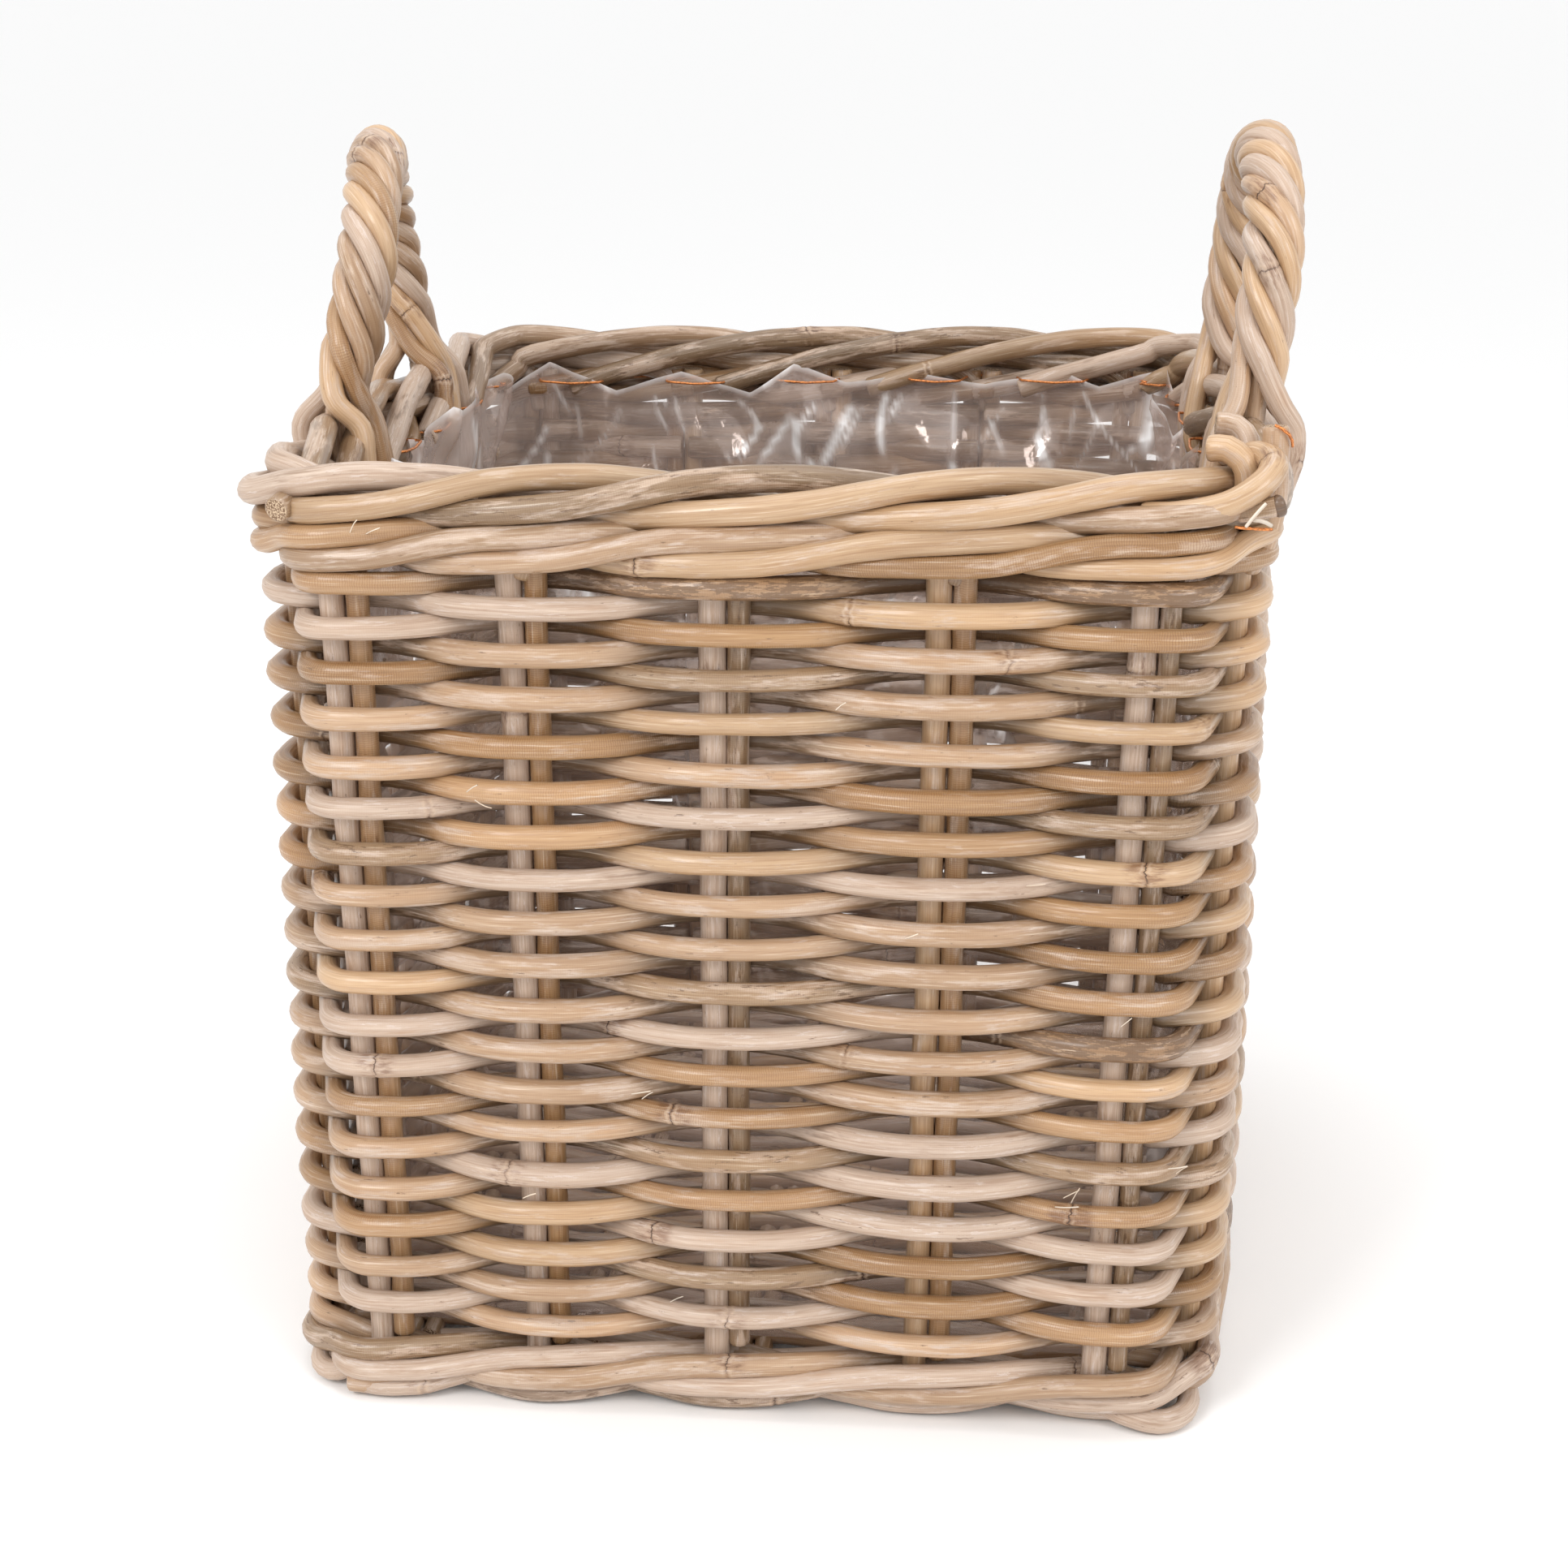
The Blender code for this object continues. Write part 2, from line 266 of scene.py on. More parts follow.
@dataclass(frozen=True)
class CaneFinish:
    """Skin of peeled and washed cane, with its grain along each rod."""

    wash: tuple[float, float, float] = (0.55, 0.428, 0.342)
    chalk: tuple[float, float, float] = (0.64, 0.55, 0.50)
    stain: tuple[float, float, float] = (0.13, 0.07, 0.035)
    crack: tuple[float, float, float] = (0.055, 0.028, 0.016)
    sun: tuple[float, float, float] = (0.90, 0.78, 0.60)        # warm patches where no wash is left
    shadow: tuple[float, float, float] = (0.74, 0.60, 0.46)     # broad bands along the rod
    fibre: tuple[float, float, float] = (0.52, 0.38, 0.27)      # dark fibres
    shine: tuple[float, float, float] = (0.93, 0.80, 0.65)      # light fibres
    ring: tuple[float, float, float] = (0.55, 0.40, 0.28)       # fine rings across the skin
    scorch: tuple[float, float, float] = (0.34, 0.20, 0.12)     # stain beside a joint
    scar: tuple[float, float, float] = (0.62, 0.47, 0.34)       # pale lip of a joint
    halo: tuple[float, float, float] = (0.50, 0.34, 0.22)

    def build(self) -> bpy.types.Material:
        """Make the material.

        Returns:
            The material, which reads the rods' own attributes.
        """
        kit = NodeKit("cane_skin")
        run = kit.attribute("cane_run")
        # the rod's colour, with its painted shade already multiplied in
        tone = kit.attribute("cane_tone_and_painted_shade", "Color")
        traits = kit.attribute("cane_traits")
        wash_share = traits.axis("X")
        joint = kit.attribute("cane_joint", "Fac")

        grain = kit.noise(run, (36.0, 1500.0), 3.0, 0.62)
        band = kit.noise(run, (20.0, 560.0))
        fine = kit.noise(run, (160.0, 7000.0), 1.0)
        drift = kit.noise(run, (14.0, 90.0))
        patch = kit.noise(run, (38.0, 240.0), 4.0, 0.62)
        mottle = kit.noise(run, (110.0, 520.0), 4.0, 0.7)

        washed = (patch + wash_share * 0.40 + (drift - 0.5) * 0.45).step(0.62, 0.76) * 0.8
        colour = kit.blend(washed, tone, self.wash)
        colour = kit.tint((1 - wash_share) * drift.step(0.35, 0.75) * 0.5, colour, self.sun)
        colour = kit.tint((1 - band.step(0.36, 0.60)) * 0.26, colour, self.shadow)
        colour = kit.tint((1 - grain.step(0.34, 0.54)) * 0.34, colour, self.fibre)
        colour = kit.blend(grain.step(0.56, 0.76) * 0.36, colour, self.shine)
        stained = (mottle * (traits.axis("Z") * 0.6 + 0.79)).step(0.58, 0.64) * 0.72
        colour = kit.blend(stained, colour, self.stain)

        wobble = kit.noise(run, (260.0, 420.0))
        rings = (run.axis("X") * 7400.0 + wobble * 9.0).sine()
        ridge = rings.step(0.1, 0.9) * traits.axis("Y") * drift.step(0.30, 0.55)
        colour = kit.tint(ridge * 0.42, colour, self.ring)

        ragged = kit.noise(run, (30.0, 210.0), 3.0, 0.7)
        torn = (joint - (ragged - 0.5) * 0.0060).size()
        spread = kit.noise(run, (9.0, 60.0), 1.0)
        burnt = (1 - (torn - spread * 0.008).step(0.0, 0.0050)) * (mottle + spread * 0.5).step(0.68, 0.92)
        colour = kit.tint(burnt * 0.65, colour, self.scorch)
        lip = (1 - (torn - 0.0014).size().step(0.0, 0.0011)) * patch.step(0.42, 0.55)
        colour = kit.blend(lip * 0.5, colour, self.scar)
        halo = 1 - torn.step(0.0004, 0.0026)
        colour = kit.tint(halo * 0.20, colour, self.halo)
        crack = (1 - torn.step(0.00010, 0.00042)) * spread.step(0.40, 0.60)
        colour = kit.blend(crack * 0.85, colour, self.crack)

        flake = kit.noise(run, (95.0, 760.0), 5.0, 0.72)
        chalky = flake.step(0.550, 0.585) * patch.step(0.44, 0.58) * (wash_share * 0.75 + 0.16)
        colour = kit.blend(chalky * 0.72, colour, self.chalk)
        gloss = 0.16 + (1 - wash_share) * 0.22
        rough = 0.33 + grain * 0.16 + washed * 0.20 + crack * 0.3 + stained * 0.1 + chalky * 0.15
        height = grain * 0.5 + fine * 0.18 + ridge * 0.34 - crack * 1.6 - washed * 0.15 + halo * 0.25
        return kit.surface({
            "Base Color": colour, "Roughness": rough, "Normal": kit.bump(height, 0.55, 0.00035),
            "IOR": 1.5, "Coat Weight": gloss, "Coat Roughness": 0.14})


@dataclass(frozen=True)
class PithFinish:
    """Porous heart that shows where a rod is cut."""

    pale: tuple[float, float, float] = (0.62, 0.46, 0.31)
    pore: tuple[float, float, float] = (0.16, 0.085, 0.045)

    def build(self) -> bpy.types.Material:
        """Make the material.

        Returns:
            The material of cut ends.
        """
        kit = NodeKit("cane_pith")
        pores = kit.noise(kit.attribute("cane_run"), (900.0, 1500.0), 3.0, 0.7)
        colour = kit.blend(pores.step(0.42, 0.60), self.pore, self.pale)
        return kit.surface({"Base Color": colour, "Roughness": 0.85, "Normal": kit.bump(pores, 0.8, 0.0006)})


@dataclass(frozen=True)
class FilmFinish:
    """Clear plastic film, hazy and white along painted highlights."""

    haze: tuple[float, float, float] = (0.80, 0.645, 0.575)
    # white of the painted highlights
    glint: tuple[float, float, float] = (0.97, 0.96, 0.96)

    def build(self) -> bpy.types.Material:
        """Make the material.

        Returns:
            The material, which reads the film's painted highlights.
        """
        kit = NodeKit("liner_film")
        place = kit.node("ShaderNodeTexCoord", {}, {}, "Object")
        # painted highlights: streaks that stand for light reflected off the folds, made whiter and less clear
        painted_highlight = kit.attribute("film_painted_highlight", "Fac")
        cloud = kit.noise(place, (26.0, 26.0, 12.0), 3.0, 0.6)
        wrinkle = kit.noise(place, (70.0, 70.0, 40.0), 3.0)
        slant = kit.node("ShaderNodeLayerWeight", {}, {"Blend": 0.5}, "Facing")
        upper = place.axis("Z").step(0.22, 0.33)
        alpha = 0.11 + upper * 0.14 + cloud.step(0.40, 0.75) * 0.14 + slant * slant * 0.36 + painted_highlight * 0.62
        return kit.surface({
            "Base Color": kit.blend(painted_highlight, self.haze, self.glint), "Alpha": alpha,
            "Normal": kit.bump(wrinkle, 0.5, 0.003), "Metallic": 0.30,
            "Roughness": 0.13, "IOR": 1.52, "Coat Weight": 0.3, "Coat Roughness": 0.05})


@dataclass(frozen=True)
class CopperFinish:
    """Thin twisted copper wire."""

    bright: tuple[float, float, float] = (0.80, 0.30, 0.09)
    dull: tuple[float, float, float] = (0.36, 0.13, 0.05)

    def build(self) -> bpy.types.Material:
        """Make the material.

        Returns:
            The material of the wires.
        """
        kit = NodeKit("copper_wire")
        twist = kit.noise(kit.attribute("cane_run"), (900.0, 2500.0), 1.0)
        return kit.surface({
            "Base Color": kit.blend(twist.step(0.35, 0.6), self.dull, self.bright), "Roughness": 0.38,
            "Metallic": 0.65, "Normal": kit.bump(twist, 0.6, 0.0002)})


@dataclass(frozen=True)
class FloorFinish:
    """Pale seamless floor."""

    shade: tuple[float, float, float] = (0.96, 0.96, 0.96)

    def build(self) -> bpy.types.Material:
        """Make the material."""
        return NodeKit("pale_floor").surface({"Base Color": (*self.shade, 1.0), "Roughness": 0.7})


# ---- rods -----------------------------------------------------------------------------------
@dataclass
class Rod:
    """One length of cane laid along a line, with joints at distances along it."""

    line: np.ndarray
    radius: float
    tone: Tone
    seed: int
    joints: list[float] = field(default_factory=list)
    sides: int = 12
    uneven: float = 0.03
    girth: np.ndarray | None = None     # thickness along the line, as a share of the radius
    shade: np.ndarray | None = None     # painted shade along the line, as a share of the rod's colour, 1 where it faces out; for whole pieces it also carries their tone

    @property
    def length(self) -> float:
        """Length of the line."""
        return line_length(self.line)


def smooth_through(points: list, steps: int = 12) -> np.ndarray:
    """Catmull-Rom curve through points.

    Args:
        points: Points of any dimension.
        steps: Pieces between two points.

    Returns:
        The dense line.
    """
    knots = np.array(points, float)
    padded = np.vstack([2 * knots[0] - knots[1], knots, 2 * knots[-1] - knots[-2]])
    share = (np.arange(steps) / steps)[:, None]
    parts = []
    for place in range(1, len(padded) - 2):
        before, start, end, after = padded[place - 1:place + 3]
        parts.append(0.5 * (
            2 * start + (end - before) * share
            + (2 * before - 5 * start + 4 * end - after) * share ** 2
            + (3 * start - before - 3 * end + after) * share ** 3))
    parts.append(knots[-1:])
    return np.vstack(parts)


def resample(line: np.ndarray, places: np.ndarray) -> np.ndarray:
    """Points of a dense line at distances along it."""
    reach = np.concatenate([[0.0], np.cumsum(np.linalg.norm(np.diff(line, axis=0), axis=1))])
    return np.column_stack([np.interp(places, reach, line[:, axis]) for axis in range(line.shape[1])])


def line_length(line: np.ndarray) -> float:
    """Length of a line."""
    return float(np.linalg.norm(np.diff(line, axis=0), axis=1).sum())


def ripple(places: np.ndarray, wave: float, draw: np.random.Generator) -> np.ndarray:
    """Smooth unevenness from -1 to 1 along a line.

    Args:
        places: Distances along the line.
        wave: Typical wavelength.
        draw: Random numbers of the rod.

    Returns:
        The unevenness at each place.
    """
    total = np.zeros_like(places)
    for share in (1.0, 0.63, 0.41):
        total += share * np.sin(2 * math.pi * places / (wave * share) + draw.uniform(0, 2 * math.pi))
    return total / 2.04


def carried_frames(points: np.ndarray) -> tuple[np.ndarray, np.ndarray]:
    """Unit vectors across a line, carried along it without twist.

    Args:
        points: The line.

    Returns:
        Two arrays of vectors, square to the line and to each other.
    """
    tangent = np.gradient(points, axis=0)
    tangent /= np.linalg.norm(tangent, axis=1)[:, None]
    start = np.array([0.0, 0.0, 1.0]) if abs(tangent[0, 2]) < 0.8 else np.array([1.0, 0.0, 0.0])
    across = np.empty_like(points)
    current = start
    for place, along in enumerate(tangent):
        current = current - along * float(current @ along)
        current = current / math.sqrt(float(current @ current))
        across[place] = current
    return across, np.cross(tangent, across)


def link_item(name: str, content: bpy.types.ID) -> bpy.types.Object:
    """Put a new object in the scene.

    Args:
        name: Its name.
        content: Its mesh, light or camera.

    Returns:
        The object, at the origin.
    """
    item = bpy.data.objects.new(name, content)
    bpy.context.scene.collection.objects.link(item)
    return item


class RodBundle:
    """Rods that make up one piece."""

    def __init__(self, name: str) -> None:
        """Start an empty bundle.

        Args:
            name: The piece's name.
        """
        self.name = name
        self.points: list[np.ndarray] = []
        self.faces: list[list[int]] = []
        self.skins: list[int] = []
        self.runs: list[np.ndarray] = []
        self.tones_with_painted_shade: list[np.ndarray] = []
        self.traits: list[np.ndarray] = []
        self.marks: list[np.ndarray] = []
        self.count = 0

    def _places(self, rod: Rod) -> np.ndarray:
        """Distances along a rod where it gets a ring of points, closer at its joints and ends.

        Args:
            rod: The rod.

        Returns:
            The distances, in order.
        """
        length = rod.length
        even = np.linspace(0.0, length, max(4, int(length / ROD_STEP) + 1))
        near = np.array([mark + shift * MILLIMETRE for mark in rod.joints for shift in JOINT_RINGS])
        near = near[(near > JOINT_MARGIN) & (near < length - JOINT_MARGIN)] if len(near) else near
        ends = np.array(END_RINGS) * MILLIMETRE
        places = np.unique(np.round(np.concatenate([even, near, ends, length - ends]), 5))
        return places[np.concatenate([[True], np.diff(places) > LEAST_RING_GAP])]

    def _size(self, rod: Rod, places: np.ndarray, joint: np.ndarray, draw: np.random.Generator) -> np.ndarray:
        """Radius of a rod at each of its rings.

        Args:
            rod: The rod.
            places: Distances along it.
            joint: Distance of each place from the nearest joint.
            draw: Random numbers of the rod.

        Returns:
            The radii.
        """
        length = rod.length
        swell = 0.075 * np.exp(-(joint / 0.0035) ** 2) - 0.06 * np.exp(-(joint / 0.0009) ** 2)
        size = rod.radius * (1 + rod.uneven * ripple(places, 0.052, draw) + swell)
        if rod.girth is not None:
            size *= np.interp(places, np.linspace(0, length, len(rod.girth)), rod.girth)
        tip = np.minimum(places, length - places)
        return size * (1 - 0.16 * np.clip(1 - tip / 0.0012, 0, 1) ** 2)

    def _colour(self, rod: Rod, places: np.ndarray, draw: np.random.Generator) -> np.ndarray:
        """Colour of a rod at each of its rings.

        Args:
            rod: The rod.
            places: Distances along it.
            draw: Random numbers of the rod.

        Returns:
            Red, green, blue and 1 for each ring.
        """
        fade = draw.normal(1.0, 0.075) * (1 + 0.07 * ripple(places, 0.21, draw))
        # the rod's shade share paints shade into its colour
        if rod.shade is not None:
            fade = fade * np.interp(places, np.linspace(0, rod.length, len(rod.shade)), rod.shade)
        colour = np.clip(np.array(rod.tone.colour)[None, :] * fade[:, None], 0, 1)
        return np.column_stack([colour, np.ones(len(places))])

    def add(self, rod: Rod) -> None:
        """Sweep a rod and keep its mesh.

        Args:
            rod: The rod to sweep.
        """
        draw = np.random.default_rng(rod.seed)
        places = self._places(rod)
        points = resample(rod.line, places)
        across, other = carried_frames(points)
        gap = places[:, None] - np.array(rod.joints or [-1.0])[None, :]
        joint = gap[np.arange(len(places)), np.abs(gap).argmin(axis=1)]
        size = self._size(rod, places, joint, draw)

        rings, sides = len(places), rod.sides
        turn = np.arange(sides) * 2 * math.pi / sides
        lean = draw.uniform(0, 2 * math.pi)
        oval = 1 + 0.035 * np.cos(2 * turn + lean) + 0.018 * np.cos(3 * turn + 2 * lean)
        flat_y = size[:, None] * (oval * np.cos(turn))[None, :]
        flat_z = size[:, None] * (oval * np.sin(turn))[None, :]
        sideways = across[:, None, :] * flat_y[..., None]
        body = points[:, None, :] + sideways + other[:, None, :] * flat_z[..., None]
        grain = np.stack([np.repeat(places[:, None], sides, 1), flat_y, flat_z], -1) + draw.uniform(-3, 3, 3)

        here = self.count + np.arange(rings * sides).reshape(rings, sides)
        after = np.roll(here, -1, axis=1)
        quads = np.stack([here[:-1], after[:-1], after[1:], here[1:]], -1).reshape(-1, 4)
        self.faces.extend([*quads.tolist(), here[0, ::-1].tolist(), here[-1].tolist()])
        self.skins.extend([0] * len(quads) + [1, 1])
        self.points.append(body.reshape(-1, 3))
        self.runs.append(grain.reshape(-1, 3))
        self.tones_with_painted_shade.append(np.repeat(self._colour(rod, places, draw), sides, axis=0))
        self.traits.append(np.tile([rod.tone.wash, rod.tone.ridges, rod.tone.stain], (rings * sides, 1)))
        self.marks.append(np.repeat(np.clip(joint, -0.03, 0.03), sides))
        self.count += rings * sides

    def build(self, skin: bpy.types.Material, heart: bpy.types.Material) -> bpy.types.Object:
        """Turn the bundle into one object.

        Args:
            skin: Material of the rods' sides.
            heart: Material of their cut ends.

        Returns:
            The new object, at the origin.
        """
        mesh = bpy.data.meshes.new(self.name)
        mesh.from_pydata(np.vstack(self.points).tolist(), [], self.faces)
        mesh.materials.append(skin)
        mesh.materials.append(heart)
        skins = np.array(self.skins, np.int32)
        mesh.polygons.foreach_set("material_index", skins)
        mesh.polygons.foreach_set("use_smooth", skins == 0)
        for name, kind, key, parts in (
                ("cane_run", "FLOAT_VECTOR", "vector", self.runs),
                ("cane_tone_and_painted_shade", "FLOAT_COLOR", "color", self.tones_with_painted_shade),
                ("cane_traits", "FLOAT_VECTOR", "vector", self.traits),
                ("cane_joint", "FLOAT", "value", self.marks)):
            layer = mesh.attributes.new(name, kind, "POINT")
            layer.data.foreach_set(key, np.concatenate(parts).astype(np.float32).ravel())
        mesh.update()
        return link_item(self.name, mesh)


# ---- the line of the walls ------------------------------------------------------------------
@dataclass
class WallLine:
    """Closed line that the stakes stand on, and points near it."""

    half_top: float = 0.181
    half_foot: float = 0.1757
    height: float = 0.384
    corner: float = 0.026
    walls: tuple[str, ...] = ("front", "right", "back", "left")
    bulges: tuple[float, ...] = (0.0, 0.0145, 0.003, 0.004)     # how far each wall swells at its middle
    bulge_reach: float = 0.149
    draw_in: float = 0.0042         # how far the corners are drawn in below the border
    pairs: int = 5                  # stake pairs on each wall
    front_shift: float = -0.0015    # the front wall's pairs stand this far along from their seats
    foot_lean: float = 0.07         # how far the foot goes out of square where it meets the floor
    lean_height: float = 0.024
    stations: np.ndarray = field(init=False)

    def __post_init__(self) -> None:
        """Work out where each stake pair stands along the line."""
        self.flat = 2 * (self.half_top - self.corner)
        self.side = self.flat + math.pi / 2 * self.corner
        self.total = 4 * self.side
        turn = np.linspace(0, 1, 201)
        quick = np.clip(turn / 0.30, 0, 1)
        late = np.clip((turn - 0.70) / 0.30, 0, 1)
        angle = math.pi / 4 * (quick ** 2 * (3 - 2 * quick) + late ** 2 * (3 - 2 * late))
        across = np.concatenate([[0.0], np.cumsum((np.cos(angle[1:]) + np.cos(angle[:-1])) / 2)])
        rise = np.concatenate([[0.0], np.cumsum((np.sin(angle[1:]) + np.sin(angle[:-1])) / 2)])
        self.bend = (turn, angle, across / across[-1], rise / rise[-1])
        places = []
        for number, wall in enumerate(self.walls):
            for pair in range(1, self.pairs + 1):
                shift = self.front_shift if wall == "front" else 0.0
                places.append(number * self.side + self.flat / 2 + self._seat(wall, pair) + shift)
        self.stations = np.array(places)

    def _seat(self, wall: str, pair: int) -> float:
        """Middle of a stake pair along its wall, as at the border, from the frame.

        Args:
            wall: The wall's name.
            pair: The pair's number.

        Returns:
            Its distance from the middle of the wall.
        """
        axis = 0 if wall in ("front", "back") else 1
        sense = 1 if wall in ("front", "right") else -1
        seats = []
        for label in ("stake", "bye_stake"):
            low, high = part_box(f"{wall}_{label}_{pair}")
            ends = (low[axis], high[axis])
            reach = max(ends, key=abs)
            radius = math.copysign(0.0045, reach)
            seats.append((reach - radius) * sense)
        return sum(seats) / 2

    def half(self, height: np.ndarray) -> np.ndarray:
        """Distance from the basket's axis to the middle of a wall at this height."""
        return self.half_foot + (self.half_top - self.half_foot) * height / self.height

    def at_station(self, number: np.ndarray) -> np.ndarray:
        """Distance along the line of a station, which is where a stake pair stands.

        Args:
            number: The station's number, which may be fractional or past the last.

        Returns:
            The distance.
        """
        count = len(self.stations)
        whole = np.floor(number).astype(int)
        start = self.stations[whole % count] + (whole // count) * self.total
        after = whole + 1
        end = self.stations[after % count] + (after // count) * self.total
        return start + (end - start) * (number - whole)

    def points(self, along: np.ndarray, out: np.ndarray, height: np.ndarray) -> np.ndarray:
        """Points beside the line.

        Args:
            along: Distances along the line, as at the border.
            out: Distances outwards from it.
            height: Heights before the rows' slope.

        Returns:
            One point for each entry.
        """
        along, out, height = np.broadcast_arrays(np.asarray(along, float), out, height)
        around = np.mod(along, self.total)
        wall = np.floor(around / self.side).astype(int)
        local = around - wall * self.side
        turned = np.clip(local - self.flat, 0, None) / (self.corner * math.pi / 2)
        straight = np.minimum(local, self.flat) - self.flat / 2
        angle = np.interp(turned, self.bend[0], self.bend[1])
        x = straight + self.corner * np.interp(turned, self.bend[0], self.bend[2])
        y = -self.half_top + self.corner * np.interp(turned, self.bend[0], self.bend[3])
        normal_x, normal_y = np.sin(angle), -np.cos(angle)
        swell = np.array(self.bulges)[wall % 4] * np.clip(1 - (straight / self.bulge_reach) ** 2, 0, 1)
        swell = swell * np.interp(height, [0.0, 0.10, 0.25, 0.37, 0.42], [0.92, 1.0, 0.80, 0.50, 0.40])
        out = out + np.where(turned > 0, 0.0, swell)
        scale = self.half(height) / self.half_top
        x = x * scale + normal_x * out
        y = y * scale + normal_y * out
        turn = wall * math.pi / 2
        world_x = x * np.cos(turn) - y * np.sin(turn)
        world_y = x * np.sin(turn) + y * np.cos(turn)
        pull = self.draw_in * np.interp(height, [0.08, 0.32, 0.362, 0.374], [0.0, 1.0, 1.0, 0.15])
        world_x = world_x - np.sign(world_x) * pull * np.clip((np.abs(world_x) - 0.155) / 0.023, 0, 1)
        world_y = world_y + self.foot_lean * world_x * np.clip(1 - height / self.lean_height, 0, 1)
        steady = np.clip((height - 0.004) / 0.05, 0, 1)
        return np.stack([world_x, world_y, height + SLOPE * world_x * steady], -1)


def joint_marks(length: float, draw: np.random.Generator, spacing: float = 0.44) -> list[float]:
    """Places of the joints along a rod.

    Args:
        length: The rod's length.
        draw: Random numbers of the rod.
        spacing: Usual distance between joints.

    Returns:
        Distances along the rod.
    """
    place = draw.uniform(0.02, spacing)
    marks = []
    while place < length - 0.008:
        marks.append(float(place))
        place += draw.uniform(0.7, 1.3) * spacing
    return marks


def inner_shade(out: np.ndarray, least: float) -> np.ndarray:
    """Painted shade: how pale a rod is kept where it stands out of the wall, and how much it is darkened
    inside it.

    Args:
        out: Distances out of the wall's middle.
        least: Share of its colour that the rod keeps inside, under the painted shade.

    Returns:
        A share for each point.
    """
    return least + (1 - least) * np.clip((out + 0.006) / 0.010, 0, 1)


def pick(draw: np.random.Generator, choices: Sequence[tuple[Cane, float]]) -> Tone:
    """Pick a rod from a bundle by weight."""
    weights = np.array([weight for _, weight in choices])
    chosen = choices[int(draw.choice(len(choices), p=weights / weights.sum()))][0]
    return chosen.value


# ---- sub-assemblies -------------------------------------------------------------------------
@dataclass
class Materials:
    """Finishes shared by the pieces."""

    cane: bpy.types.Material
    pith: bpy.types.Material
    film: bpy.types.Material
    copper: bpy.types.Material

    def lay(self, bundle: RodBundle, slot: str, *nodes: str) -> None:
        """Finish a bundle of cane as a piece.

        Args:
            bundle: The rods.
            slot: The record's material slot.
            nodes: CAD nodes that the piece stands for.
        """
        settle(bundle.build(self.cane, self.pith), slot, *nodes)


def settle(piece: bpy.types.Object, slot: str, *nodes: str) -> None:
    """Tie a piece to the frame.

    Args:
        piece: The finished piece.
        slot: The record's material slot; not used.
        nodes: CAD nodes that it stands for.
    """
    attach(piece, BODY)
    if nodes:
        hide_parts(*nodes)
    LOG.info("%s: %d faces", piece.name, len(piece.data.polygons))


MAIN_STAKE_MIX = [(Cane.CREAM, 3), (Cane.BUFF, 2), (Cane.LILAC, 2)]
BYE_STAKE_MIX = [(Cane.GOLDEN, 3), (Cane.HONEY, 2), (Cane.DRAB, 1), (Cane.BUFF, 1)]


@dataclass
class Stakes:
    """Main stakes and bye-stakes of the four walls."""

    wall: WallLine
    finishes: Materials
    radius: float = 0.0045
    half_pitch: float = 0.0047
    foot: float = 0.008
    bye_foot: float = 0.026
    top: float = 0.3655
    steps: int = 60                 # points along a stake

    def _stake(self, number: int, label: str) -> None:
        """Make one stake.

        Args:
            number: Number of its station.
            label: Whether it is a stake or a bye_stake.
        """
        main = label == "stake"
        sense = -1 if main else 1
        seed = 4000 + number * 2 + (not main)
        draw = np.random.default_rng(seed)
        foot = self.foot if main else self.bye_foot + draw.uniform(-0.002, 0.002)
        height = np.linspace(foot, self.top, self.steps)
        drift = 0.0004 * ripple(height, 0.11, draw)
        along = self.wall.stations[number] + sense * self.half_pitch + drift
        line = self.wall.points(along, 0.0003 * ripple(height, 0.09, draw), height)
        tone = pick(draw, MAIN_STAKE_MIX if main else BYE_STAKE_MIX)
        radius = self.radius * (1.12 if main else 0.94) * draw.uniform(0.96, 1.04)
        shade = np.full(self.steps, 0.98 if main else 0.90)
        marks = joint_marks(line_length(line), draw)
        node = f"{self.wall.walls[number // self.wall.pairs]}_{label}_{number % self.wall.pairs + 1}"
        bundle = RodBundle(f"{node}_cane")
        bundle.add(Rod(line, radius, tone, seed, marks, shade=shade))
        self.finishes.lay(bundle, "rattan_buff" if main else "rattan_golden", node)

    def build(self) -> None:
        """Make every stake as its own piece."""
        for number in range(len(self.wall.stations)):
            for label in ("stake", "bye_stake"):
                self._stake(number, label)


